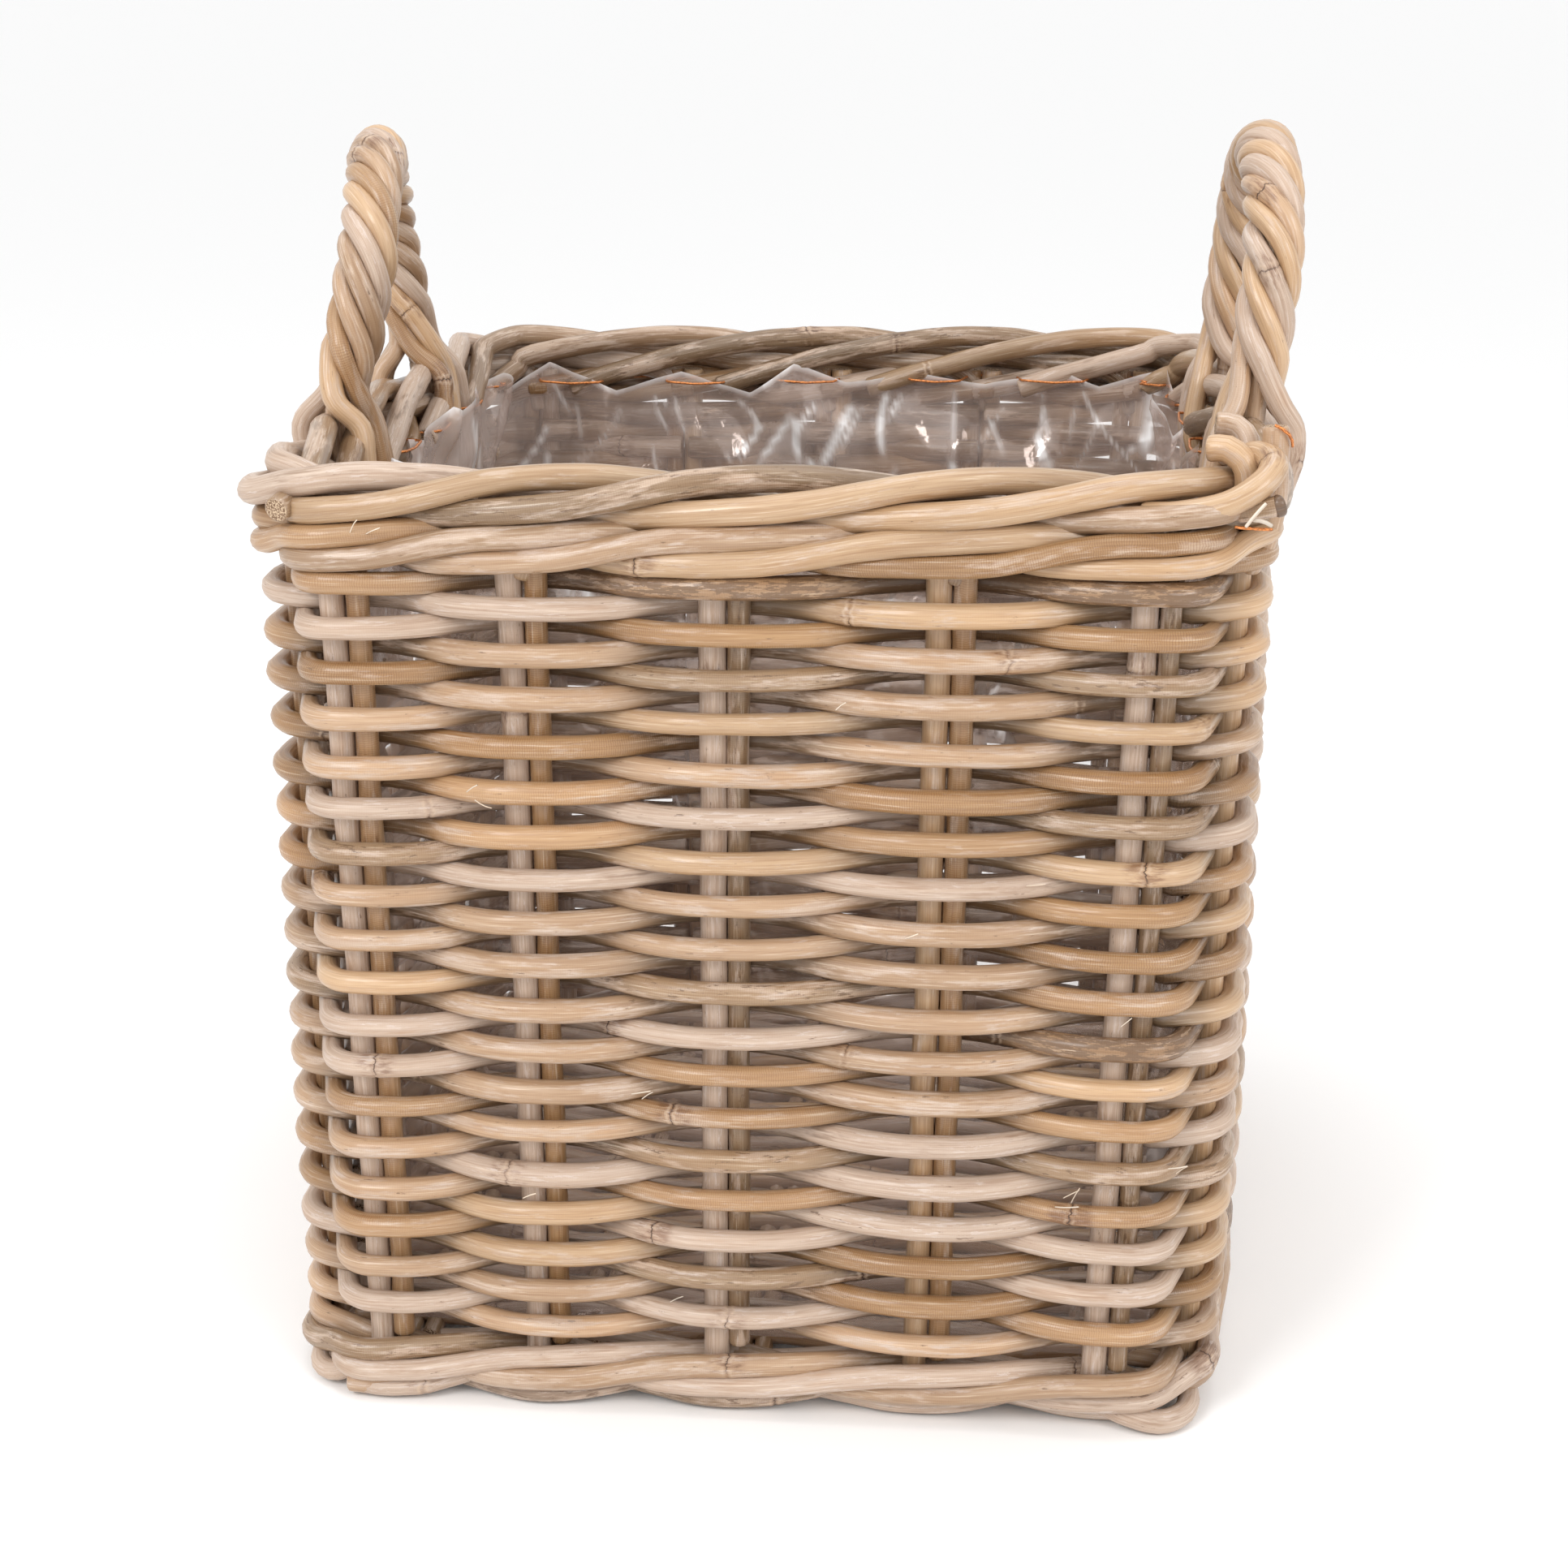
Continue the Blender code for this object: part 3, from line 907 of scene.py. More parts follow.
@dataclass
class Weave:
    """Rows of plain weave, each outside one stake pair and inside the next."""

    wall: WallLine
    finishes: Materials
    rows: int = 36
    low: float = 0.0352
    high: float = 0.3448
    swing: float = 0.0088
    seat: float = 0.0062
    bands: int = 9
    per_band: int = 4
    back_calm: float = 0.32         # share of the swing that the back wall's rods lose
    back_girth: float = 0.27        # share by which they are thicker

    def _swing(self, along: np.ndarray, phase: int) -> np.ndarray:
        """Distance out of the wall's middle, which swaps sides from one stake pair to the next.

        Args:
            along: Distances along the wall's line.
            phase: 0 or 1, for a row that starts outside or inside.

        Returns:
            The distance out at each place.
        """
        count = len(self.wall.stations)
        turns = np.arange(-count, 2 * count)
        knots = self.wall.at_station(turns.astype(float))
        place = np.searchsorted(knots, along) - 1
        start, end = knots[place], knots[place + 1]
        share = np.clip((along - start - self.seat) / (end - start - 2 * self.seat), 0, 1)
        side = np.where((turns[place] + phase) % 2 == 0, 1.0, -1.0)
        stiff = np.where(turns[place] % self.wall.pairs == self.wall.pairs - 1, 0.75, 0.15)
        wave = np.cos(math.pi * share) * (1 - stiff) + (1 - 2 * share) * stiff
        return side * wave * self.swing * (1 - self.back_calm * self._back_share(along))

    def _back_share(self, along: np.ndarray) -> np.ndarray:
        """1 on the back wall, where the rods are thicker and wave less, fading to 0 at its corners."""
        return np.clip(np.minimum(along - 2 * self.wall.side, 3 * self.wall.side - along) / 0.03, 0, 1)

    def _row(self, row: int, bundle: RodBundle) -> None:
        """Lay one row out of separate rods, which meet inside a stake pair.

        Args:
            row: Number of the row from the foot.
            bundle: The band that it belongs to.
        """
        draw = np.random.default_rng(900 + row)
        phase = (row + 1) % 2
        count = len(self.wall.stations)
        settling = 0.0010 * ripple(np.array([float(row)]), 9.5, np.random.default_rng(3))[0]
        height = self.low + (self.high - self.low) * row / (self.rows - 1) + settling
        top_share = row / (self.rows - 1)
        golden = 2.6 if phase else 1.4
        mix = [
            (Cane.HONEY, golden * (0.4 + top_share)), (Cane.GOLDEN, golden), (Cane.CREAM, 1.8),
            (Cane.BUFF, 2.2), (Cane.LILAC, 2.2 - 0.8 * top_share), (Cane.ASH, 0.7), (Cane.DRAB, 0.9),
            (Cane.UMBER, 0.35)]
        first = 2 * int(draw.integers(0, count // 2)) + 1 + phase
        station = first
        while station < first + count:
            span = min(2 * int(draw.integers(1, 4)), first + count - station)
            start = self.wall.stations[station % count] + (station // count) * self.wall.total
            finish = station + span
            end = self.wall.stations[finish % count] + (finish // count) * self.wall.total
            along = np.arange(start + 0.0006, end - 0.0005, 0.0024)
            wobble = 0.0007 * ripple(along, 0.31, np.random.default_rng(500 + row))
            swing = self._swing(np.mod(along, self.wall.total), phase)
            radius = draw.uniform(0.0045, 0.0050) if phase else draw.uniform(0.0042, 0.0047)
            girth = 1 + self.back_girth * self._back_share(np.mod(along, self.wall.total))
            sag = 0.0006 * np.cos(swing / self.swing * math.pi / 2)
            # painted shade on the parts of the rod inside the wall
            shade = inner_shade(swing, 0.45)
            line = self.wall.points(along, swing, height + wobble - sag + draw.uniform(-0.0003, 0.0003))
            marks = joint_marks(line_length(line), draw, 0.60)
            seed = 20000 + row * 50 + station
            bundle.add(Rod(line, radius, pick(draw, mix), seed, marks, shade=shade, girth=girth))
            station = finish

    def build(self) -> None:
        """Make the bands of rows."""
        for band in range(self.bands):
            bundle = RodBundle(f"weave_rows_{band + 1}")
            for row in range(band * self.per_band, (band + 1) * self.per_band):
                self._row(row, bundle)
            slot = ("rattan_golden", "rattan_grey", "rattan_buff")[band % 3]
            self.finishes.lay(bundle, slot, f"weave_band_{band + 1}")


@dataclass
class LaidRods:
    """Rods that start at each stake pair and follow the same course round the wall."""

    name: str
    node: str
    slot: str
    wall: WallLine
    finishes: Materials
    course: list[tuple[float, float, float]]    # stations past its own, millimetres out, height in mm
    radius: float
    seed: int
    mix: list[tuple[Cane, float]]
    # share of the colour kept over the whole piece: below 1 it paints shade on the piece, and it also sets
    # the piece's tone
    painted_shade_and_tone: float
    marks: float = 0.42             # usual distance between joints

    def build(self) -> None:
        """Lay one rod for each stake pair."""
        bundle = RodBundle(self.name)
        course = smooth_through(self.course, 14)
        for number in range(len(self.wall.stations)):
            draw = np.random.default_rng(self.seed + number)
            along = self.wall.at_station(number + course[:, 0])
            out = course[:, 1] * MILLIMETRE + 0.0005 * ripple(along, 0.13, draw)
            height = course[:, 2] * MILLIMETRE + 0.0004 * ripple(along, 0.17, draw)
            line = self.wall.points(along, out, height)
            radius = self.radius * draw.uniform(0.94, 1.05)
            marks = joint_marks(line_length(line), draw, self.marks)
            # painted shade inside the wall, times the piece's own painted shade and tone
            shade = inner_shade(out, 0.76) * self.painted_shade_and_tone
            seed = self.seed * 7 + number
            bundle.add(Rod(line, radius, pick(draw, self.mix), seed, marks, sides=14, shade=shade))
        self.finishes.lay(bundle, self.slot, self.node)


EDGE_MIX = [
    (Cane.CREAM, 1.8), (Cane.BUFF, 2.6), (Cane.GOLDEN, 1.8), (Cane.LILAC, 2.2), (Cane.ASH, 0.6),
    (Cane.DRAB, 0.5), (Cane.HONEY, 0.8)]
FOOT_MIX = [(Cane.CREAM, 1.2), (Cane.BUFF, 2.0), (Cane.LILAC, 3.2), (Cane.ASH, 1.6), (Cane.DRAB, 0.6)]
# dark, dull cane leads on the foot border, partly for its own colour and partly as painted shade under the
# foot wale
FOOT_EDGE_MIX = [(Cane.MURKY, 2.6), (Cane.LILAC, 1.8), (Cane.ASH, 1.6), (Cane.DRAB, 1.0)]

BORDER_COURSE = [
    (0.0, 0.0, 345), (0.04, 0.0, 355), (0.10, -0.3, 362), (0.22, -0.8, 366.8), (0.40, -0.4, 368.4),
    (0.60, 3.0, 368.6), (0.80, 7.0, 370.2), (1.00, 9.0, 371.6), (1.20, 9.3, 373.0), (1.40, 8.5, 375.2),
    (1.60, 6.6, 378.0), (1.80, 4.0, 380.6), (2.00, 1.0, 381.8), (2.20, -2.0, 382.0), (2.45, -5.0, 380.8),
    (2.70, -7.6, 378.2), (3.00, -9.6, 373.8), (3.25, -10.6, 369.0), (3.50, -11.2, 364.0),
    (3.75, -11.6, 358.0)]
UPPER_WALE_COURSE = [
    (-0.08, -8.7, 357.5), (0.0, -9.0, 357.0), (0.22, -6.0, 354.6), (0.40, 0.0, 352.4),
    (0.60, 6.2, 352.3), (0.80, 9.0, 352.8), (1.00, 9.6, 353.3), (1.20, 9.8, 354.3), (1.40, 9.8, 357.0),
    (1.60, 9.8, 360.0), (1.80, 9.8, 361.6), (2.00, 9.6, 362.2), (2.30, 7.0, 363.2), (2.55, 1.5, 362.4),
    (2.80, -5.5, 360.0), (3.00, -9.0, 357.6), (3.06, -9.0, 357.2)]
FOOT_WALE_COURSE = [
    (-0.08, -8.7, 18.0), (0.0, -9.0, 17.6), (0.22, -6.0, 15.4), (0.40, 0.0, 13.0), (0.60, 6.2, 12.9),
    (0.80, 9.0, 13.2), (1.00, 9.6, 13.6), (1.20, 9.8, 14.4), (1.40, 9.8, 16.6), (1.60, 9.8, 19.4),
    (1.80, 9.8, 21.4), (2.00, 9.6, 22.2), (2.30, 7.0, 23.0), (2.55, 1.5, 22.0), (2.80, -5.5, 19.6),
    (3.00, -9.0, 18.0), (3.06, -9.0, 17.8)]
FOOT_BORDER_COURSE = [
    (0.0, 0.0, 14.0), (0.05, -1.0, 11.0), (0.20, -3.5, 8.8), (0.40, -3.5, 7.6), (0.60, -0.5, 6.4),
    (0.80, 3.0, 5.6), (1.00, 4.6, 5.5), (1.20, 4.0, 6.4), (1.40, 1.4, 8.6), (1.60, -2.0, 11.4),
    (1.80, -5.4, 11.6), (2.05, -9.0, 9.4), (2.20, -10.0, 7.0)]


EDGES = (   # piece, node, slot, course, radius, seed, mix, painted_shade_and_tone
    ("upper_wale_rods", "upper_wale", "rattan_grey", UPPER_WALE_COURSE, 0.0047, 310, EDGE_MIX, 0.93),
    ("top_border_rods", "top_border", "rattan_golden", BORDER_COURSE, 0.0052, 350, EDGE_MIX, 0.84),
    ("foot_wale_rods", "foot_wale", "rattan_grey", FOOT_WALE_COURSE, 0.0047, 390, FOOT_MIX, 1.0),
    ("foot_border_rods", "foot_border", "rattan_buff", FOOT_BORDER_COURSE, 0.0048, 430, FOOT_EDGE_MIX, 0.82))


HANDLE_MIX = ((Cane.BUFF, 2.5), (Cane.GOLDEN, 1.4), (Cane.LILAC, 2.4), (Cane.CREAM, 1.6), (Cane.ASH, 0.8))
RIGHT_HANDLE_MIX = ((Cane.BUFF, 2.0), (Cane.LILAC, 4.0), (Cane.CREAM, 2.0), (Cane.ASH, 0.8))

LEFT_BOW = [
    (-0.1740, -0.067, 0.410), (-0.1690, -0.059, 0.444), (-0.1715, -0.034, 0.4705), (-0.1780, 0.000, 0.4790),
    (-0.1860, 0.034, 0.4705), (-0.1900, 0.059, 0.444), (-0.1865, 0.067, 0.410)]
RIGHT_BOW = [
    (0.1870, -0.067, 0.412), (0.1900, -0.060, 0.449), (0.1898, -0.035, 0.4770), (0.1890, 0.000, 0.4865),
    (0.1880, 0.035, 0.4770), (0.1870, 0.060, 0.449), (0.1845, 0.067, 0.412)]


@dataclass
class Handle:
    """Bow rod with strands twisted round it, whose feet straddle the border."""

    name: str
    wall: WallLine
    finishes: Materials
    sense: int                                  # 1 on the right wall, -1 on the left
    bow: list[tuple[float, float, float]]       # centre line above the border, front to back
    seed: int
    seat: float = 0.0698
    strands: int = 5
    core_radius: float = 0.0044
    strand_radius: float = 0.0043
    lay: float = 0.0078                         # distance of a strand's middle from the bow's
    parting: float = 0.404                      # height where the strands leave the rope
    pitch: float = 0.064
    leg_pitch: float = 0.090
    outside: float = 0.0172                     # how far a strand clears the wall's middle
    inside: float = 0.0138
    fan: float = 0.016                          # how far the strands spread along the wall
    # share of the colour kept over the whole handle: below 1 it paints shade on it, and it also sets its tone
    painted_shade_and_tone: float = 0.90
    mix: tuple[tuple[Cane, float], ...] = HANDLE_MIX

    def _beside(self, end: int, back: float, out: float, height: float) -> np.ndarray:
        """Point near a leg.

        Args:
            end: Front (-1) or back (1) leg.
            back: Distance along the wall from the leg, towards the back.
            out: Distance outwards from the wall's middle.
            height: Height before the slope.

        Returns:
            The point.
        """
        number = 1 if self.sense > 0 else 3
        shift = (end * self.seat + back) * self.sense
        along = number * self.wall.side + self.wall.flat / 2 + shift
        return self.wall.points(along, out, height)

    def _foot(self, end: int, tip: np.ndarray) -> list[np.ndarray]:
        """Course of a strand from the rope down past the border.

        Args:
            end: Front (-1) or back (1) leg.
            tip: Where the strand leaves the rope.

        Returns:
            Points from the rope down.
        """
        leg = self._beside(end, 0.0, 0.0, self.parting)
        angle = math.atan2(tip[1] - leg[1], tip[0] - leg[0])
        near = angle + math.radians(34)
        middle = self._beside(end, 0.0, 0.0, self.parting - 0.011)
        first = middle + np.array([math.cos(near), math.sin(near), 0.0]) * 0.0105
        far = angle + math.radians(62)
        outwards = math.cos(far) * self.sense > 0.25
        out = self.outside if outwards else -self.inside
        back = self.fan * math.sin(far)
        return [
            first,
            self._beside(end, back * 0.82, out * 0.92, 0.3815),
            self._beside(end, back * 1.00, out * 1.00, 0.3695),
            self._beside(end, back * 1.12, out * 0.93, 0.3575),
            self._beside(end, back * 1.20, out * 0.66, 0.3480),
            self._beside(end, back * 1.24, out * 0.20, 0.3390)]

    def _rope(self, line: np.ndarray) -> list[np.ndarray]:
        """Lay the strands round the bow.

        Args:
            line: The bow's centre line.

        Returns:
            The course of each strand, feet included.
        """
        length = line_length(line)
        places = np.linspace(0.0, length, 240)
        middle = resample(line, places)
        across, other = carried_frames(middle)
        pitches = [self.leg_pitch, self.pitch, self.pitch, self.leg_pitch]
        pitch = np.interp(places / length, [0, 0.3, 0.7, 1], pitches)
        angle = np.concatenate([[0], np.cumsum(np.diff(places) / pitch[1:])]) * 2 * math.pi
        above = middle[:, 2] > self.parting + SLOPE * middle[:, 0]
        courses = []
        for strand in range(self.strands):
            draw = np.random.default_rng(self.seed * 31 + strand)
            turn = 2 * math.pi * (strand + draw.uniform(-0.07, 0.07)) / self.strands - angle
            lay = self.lay * (1 + 0.06 * ripple(places, 0.07, draw))
            helix = middle + across * (lay * np.cos(turn))[:, None] + other * (lay * np.sin(turn))[:, None]
            helix = helix[above]
            front = self._foot(-1, helix[0])
            back = self._foot(1, helix[-1])
            courses.append(smooth_through([*front[::-1], *helix[3:-3:6], *back], 8))
        return courses

    def build(self) -> None:
        """Make the core and the strands."""
        exits = [self._beside(end, 0.0, 0.0, 0.386) for end in (-1, 1)]
        legs = [self._beside(end, 0.0, 0.0, 0.300) for end in (-1, 1)]
        line = smooth_through([exits[0], *self.bow, exits[1]], 24)
        core = np.vstack([legs[0], line, legs[1]])
        core = resample(core, np.linspace(0, line_length(core), 260))
        bundle = RodBundle(f"{self.name}_bow_rod")
        bundle.add(Rod(core, self.core_radius, Cane.BUFF.value, self.seed, [0.11, 0.36]))
        self.finishes.lay(bundle, "rattan_buff", f"{self.name}_core")
        bundle = RodBundle(f"{self.name}_strands")
        for number, course in enumerate(self._rope(line)):
            draw = np.random.default_rng(self.seed * 77 + number)
            radius = self.strand_radius * draw.uniform(0.94, 1.05)
            marks = joint_marks(line_length(course), draw, 0.50)
            # the whole strand gets the handle's painted shade and tone
            shade = np.full(40, self.painted_shade_and_tone)
            seed = self.seed * 57 + number
            bundle.add(Rod(course, radius, pick(draw, self.mix), seed, marks, sides=14, shade=shade))
        self.finishes.lay(bundle, "rattan_golden", f"{self.name}_rope")


@dataclass
class BasePanel:
    """Woven base: rods over and under short sticks."""

    wall: WallLine
    finishes: Materials
    rods: int = 36
    sticks: int = 5
    rod_radius: float = 0.0042
    stick_radius: float = 0.0040

    def build(self) -> None:
        """Weave the base."""
        low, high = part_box("base_panel")
        middle = (low.z + high.z) / 2
        half = high.x - 0.003
        bundle = RodBundle("base_weave")
        draw = np.random.default_rng(77)
        stick_places = np.linspace(-half * 0.82, half * 0.82, self.sticks)
        for number, x in enumerate(stick_places):
            for shift in (-0.0042, 0.0042):
                line = np.array([[x + shift, y, middle] for y in np.linspace(-half, half, 40)])
                bundle.add(Rod(line, self.stick_radius, Cane.DRAB.value, 7000 + number, [], sides=8))
        pitch = 2 * (half - self.rod_radius) / (self.rods - 1)
        for number in range(self.rods):
            y = -half + self.rod_radius + number * pitch
            x = np.linspace(-half, half, 150)
            wave = np.cos(math.pi * (x - stick_places[0]) / (stick_places[1] - stick_places[0]))
            sense = 1 if number % 2 else -1
            line = np.column_stack([x, np.full_like(x, y), middle + sense * wave * 0.0034])
            tone = pick(draw, FOOT_MIX)
            bundle.add(Rod(line, self.rod_radius, tone, 7100 + number, joint_marks(2 * half, draw), sides=8))
        self.finishes.lay(bundle, "rattan_grey", "base_panel")


@dataclass
class FilmLiner:
    """Tub of thin film, creased where it was folded and ruffled along its top edge."""

    wall: WallLine
    finishes: Materials
    inset: float = 0.0140
    top: float = 0.3640
    ruffle: float = 0.0080
    columns: int = 900
    rows: int = 84
    floor_rings: int = 11
    corner: float = 0.020
    folds: int = 300
    # painted highlight streaks hung at random
    glints: int = 210
    # painted highlight streaks: x, height of the top, reach, lean, curl, width, strength; x, height, reach
    # and width are millimetres
    back_glints: tuple[tuple[float, ...], ...] = (
        (-47, 353, 32, 1.73, -65, 1.5, 0.9), (-30, 345, 26, -0.75, 4, 1.1, 0.7),
        (-18, 346, 28, -0.69, 0, 1.8, 1.0), (-17, 345, 26, 0.02, 2, 1.4, 0.8),
        (-6, 351, 30, -1.10, 28, 1.5, 0.9), (12, 352, 36, -0.48, 0, 2.6, 1.0),
        (17, 350, 24, -0.62, 6, 1.2, 0.7), (29, 358, 35, -0.38, 10, 1.8, 1.0),
        (36, 356, 16, -0.60, 8, 1.3, 0.8), (78, 346, 22, 0.55, -4, 1.4, 0.6),
        (90, 367, 15, 1.30, -4, 1.6, 0.9), (-93, 355, 9, 2.10, 10, 1.8, 1.0),
        (-88, 350, 16, 0.35, 12, 1.2, 0.7), (160, 366, 42, -0.03, 0, 4.0, 0.8),
        (164, 340, 18, -1.30, -6, 1.8, 0.8), (122, 352, 20, -0.30, 9, 1.3, 0.5),
        (-128, 352, 24, 0.25, -6, 1.4, 0.5), (-140, 362, 20, 0.5, 3, 1.2, 0.6))

    def _edge(self, along: np.ndarray, total: float) -> np.ndarray:
        """Height of the ruffled top edge, which peaks between the stitches.

        Args:
            along: Distances round the tub.
            total: Distance round the whole tub.

        Returns:
            The height at each place.
        """
        draw = np.random.default_rng(12)
        knots = np.cumsum(draw.uniform(0.016, 0.040, 80))
        knots = knots[knots < total - 0.012]
        sense = np.where(np.arange(len(knots)) % 2 == 0, 1.0, -1.0)
        peaks = sense * draw.uniform(0.25, 1.0, len(knots)) * self.ruffle
        return self.top + np.interp(along, knots, peaks, period=total)

    def _folds(self, along: np.ndarray, height: np.ndarray, total: float,
               draw: np.random.Generator) -> np.ndarray:
        """Flat-sided folds in every direction.

        Args:
            along: Distance round the tub at each point.
            height: Height of each point.
            total: Distance round the whole tub.
            draw: Random numbers of the film.

        Returns:
            How far each point stands in from the wall.
        """
        stand = np.zeros_like(along)
        for _ in range(self.folds):
            centre = draw.uniform(0, total)
            level = 0.368 - abs(draw.normal(0, 0.11))
            tilt = draw.normal(0, 0.65)
            reach = draw.uniform(0.015, 0.070)
            width = draw.uniform(0.005, 0.024)
            rise = draw.uniform(0.10, 0.34) * width * draw.choice([-0.7, 1.0])
            sideways = np.mod(along - centre + total / 2, total) - total / 2
            upwards = height - level
            away = sideways * math.cos(tilt) + upwards * math.sin(tilt)
            run = upwards * math.cos(tilt) - sideways * math.sin(tilt)
            fade = np.clip(1 - (run / reach) ** 2, 0, 1)
            stand += rise * fade * np.clip(1 - np.abs(away) / width, 0, 1)
        return stand

    def _streaks(self, along: np.ndarray, height: np.ndarray, total: float,
                 draw: np.random.Generator) -> np.ndarray:
        """Painted highlights: white streaks that hang at random, with a paler painted veil on one side of
        each.

        Args:
            along: Distance round the tub at each point.
            height: Height of each point.
            total: Distance round the whole tub.
            draw: Random numbers of the film.

        Returns:
            How white each point is.
        """
        white = np.zeros_like(along)
        for _ in range(self.glints):
            centre = draw.uniform(0, total)
            high = draw.random() < 0.5
            start = draw.uniform(0.300, 0.362) if high else draw.uniform(0.03, 0.31)
            reach = draw.uniform(0.018, 0.065)
            lean, curl = draw.normal(0, 0.30), draw.normal(0, 8.0)
            down = start - height
            path = centre + lean * down + curl * down ** 2
            sideways = np.mod(along - path + total / 2, total) - total / 2
            width = draw.uniform(0.0010, 0.0021)
            fade = np.clip(down / 0.004, 0, 1) * np.clip((reach - down) / (0.5 * reach), 0, 1)
            strength = draw.uniform(0.30, 0.9) * (1.0 if high else 0.45)
            white += strength * fade * np.exp(-(sideways / width) ** 2)
            veil = np.exp(-np.abs(sideways) / draw.uniform(0.003, 0.009)) * (sideways * lean < 0)
            white += draw.uniform(0.00, 0.34) * fade * veil
        return white

    def _back_streaks(self, along: np.ndarray, height: np.ndarray, side: float) -> np.ndarray:
        """Painted highlights of the back wall: white streaks which lie where back_glints says.

        Args:
            along: Distance round the tub at each point.
            height: Height of each point.
            side: Distance along one wall, corner included.

        Returns:
            How white each point is.
        """
        white = np.zeros_like(along)
        middle = 2 * side + (side - math.pi / 2 * self.corner) / 2
        for x, start, reach, lean, curl, width, strength in self.back_glints:
            down = start * MILLIMETRE - height
            sideways = along - (middle - x * MILLIMETRE - lean * down - curl * down ** 2)
            ends = np.clip(down / 0.003, 0, 1) * np.clip((reach * MILLIMETRE - down) / 0.008, 0, 1)
            white += strength * ends * np.exp(-(sideways / width / MILLIMETRE) ** 2)
            white += 0.22 * strength * ends * np.exp(-np.abs(sideways) / 0.010) * (sideways * lean > 0)
        return white

    def _outline(self) -> tuple[np.ndarray, np.ndarray, np.ndarray, float]:
        """Rounded square of half size 1.

        Returns:
            Points, outward normals, distances round it at full size, and the whole distance.
        """
        half = self.wall.half_top - self.inset
        flat = 2 * (half - self.corner)
        side = flat + math.pi / 2 * self.corner
        along = np.linspace(0, 4 * side, self.columns, endpoint=False)
        number = np.floor(along / side)
        local = along - number * side
        bend = np.clip(local - flat, 0, None) / self.corner
        x = np.minimum(local, flat) - flat / 2 + self.corner * np.sin(bend)
        y = -(half - self.corner) - self.corner * np.cos(bend)
        cos, sin = np.cos(number * math.pi / 2), np.sin(number * math.pi / 2)
        points = np.stack([x * cos - y * sin, x * sin + y * cos], -1)
        normals = np.stack([
            np.sin(bend) * cos + np.cos(bend) * sin,
            np.sin(bend) * sin - np.cos(bend) * cos], -1)
        return points / half, normals, along, 4 * side

    def _handle_room(self, points: np.ndarray) -> np.ndarray:
        """How far the film stands in where the handles' strands come down inside the border.

        Args:
            points: Outline of the tub at half size 1.

        Returns:
            A distance for each point.
        """
        beside = np.clip((np.abs(points[:, 0]) - 0.9) / 0.06, 0, 1)
        near = np.exp(-((np.abs(points[:, 1]) * self.wall.half_top - 0.070) / 0.026) ** 4)
        return 0.0062 * beside * near

    def _walls(self, foot: float) -> tuple[np.ndarray, np.ndarray]:
        """Walls of the tub, row by row from the foot.

        Args:
            foot: Height of the tub's floor.

        Returns:
            The points and how much painted highlight each carries.
        """
        outline, normals, along, total = self._outline()
        share = np.linspace(0, 1, self.rows)[:, None] ** 0.85
        height = foot + (self._edge(along, total)[None, :] - foot) * share
        around = np.repeat(along[None, :], self.rows, 0)
        draw = np.random.default_rng(41)
        stand = self._folds(around, height, total, draw)
        # painted highlights: random streaks, the back wall's streaks, a pale veil over the upper left wall
        # and a white line along the top edge
        white = self._streaks(around, height, total, draw)
        side = total / 4
        white += self._back_streaks(around, height, side)
        left = np.clip(np.minimum(around - 3 * side, 4 * side - around) / 0.02, 0, 1)
        high = np.clip((height - 0.31) / 0.03, 0, 1)
        white = np.clip(white + 0.24 * left * high, 0, 1)
        white = np.maximum(white, np.clip((share - 0.993) / 0.004, 0, 1) * 0.9)
        flare = np.clip((height - 0.350) / 0.016, 0, 1)
        waves = ripple(along, 0.061, np.random.default_rng(8))[None, :]
        stand = stand + flare * (0.0012 + 0.0030 * waves)
        stand = np.maximum(stand, -0.0015) + self._handle_room(outline)[None, :] * high
        inner = self.wall.half(height) - self.inset
        flat = outline[None] * inner[..., None] - normals[None] * stand[..., None]
        rise = SLOPE * flat[..., 0] * np.clip((height - 0.01) / 0.06, 0, 1)
        return np.concatenate([flat, (height + rise)[..., None]], -1), white

    def _floor(self, foot: float) -> np.ndarray:
        """Floor of the tub, ring by ring from the middle.

        Args:
            foot: Its height.

        Returns:
            The points.
        """
        outline = self._outline()[0]
        floors = []
        for scale in np.linspace(0.05, 0.985, self.floor_rings):
            ring = outline * scale * (self.wall.half(foot) - self.inset)
            bumps = np.abs(ripple(ring[:, 0] + 2 * ring[:, 1], 0.09, np.random.default_rng(5)))
            floors.append(np.column_stack([ring, foot + 0.0018 * bumps * min(1.0, (1 - scale) * 12)]))
        return np.stack(floors)

    def build(self) -> None:
        """Make the film tub."""
        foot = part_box("liner")[0].z + 0.001
        walls, white = self._walls(foot)
        rings = np.concatenate([self._floor(foot), walls])
        painted_highlights = np.concatenate([np.zeros((self.floor_rings, self.columns)), white])
        grid = np.arange(rings.shape[0] * self.columns).reshape(-1, self.columns)
        after = np.roll(grid, -1, axis=1)
        faces = np.stack([grid[:-1], grid[1:], after[1:], after[:-1]], -1).reshape(-1, 4).tolist()
        faces.append(grid[0].tolist())
        mesh = bpy.data.meshes.new("film_liner")
        mesh.from_pydata(rings.reshape(-1, 3).tolist(), [], faces)
        mesh.materials.append(self.finishes.film)
        layer = mesh.attributes.new("film_painted_highlight", "FLOAT", "POINT")
        layer.data.foreach_set("value", painted_highlights.astype(np.float32).ravel())
        mesh.polygons.foreach_set("use_smooth", [True] * len(mesh.polygons))
        mesh.update()
        piece = link_item("film_liner", mesh)
        settle(piece, "liner_film", "liner")
        LOG.info("film area %.4f square metres", sum(face.area for face in mesh.polygons))


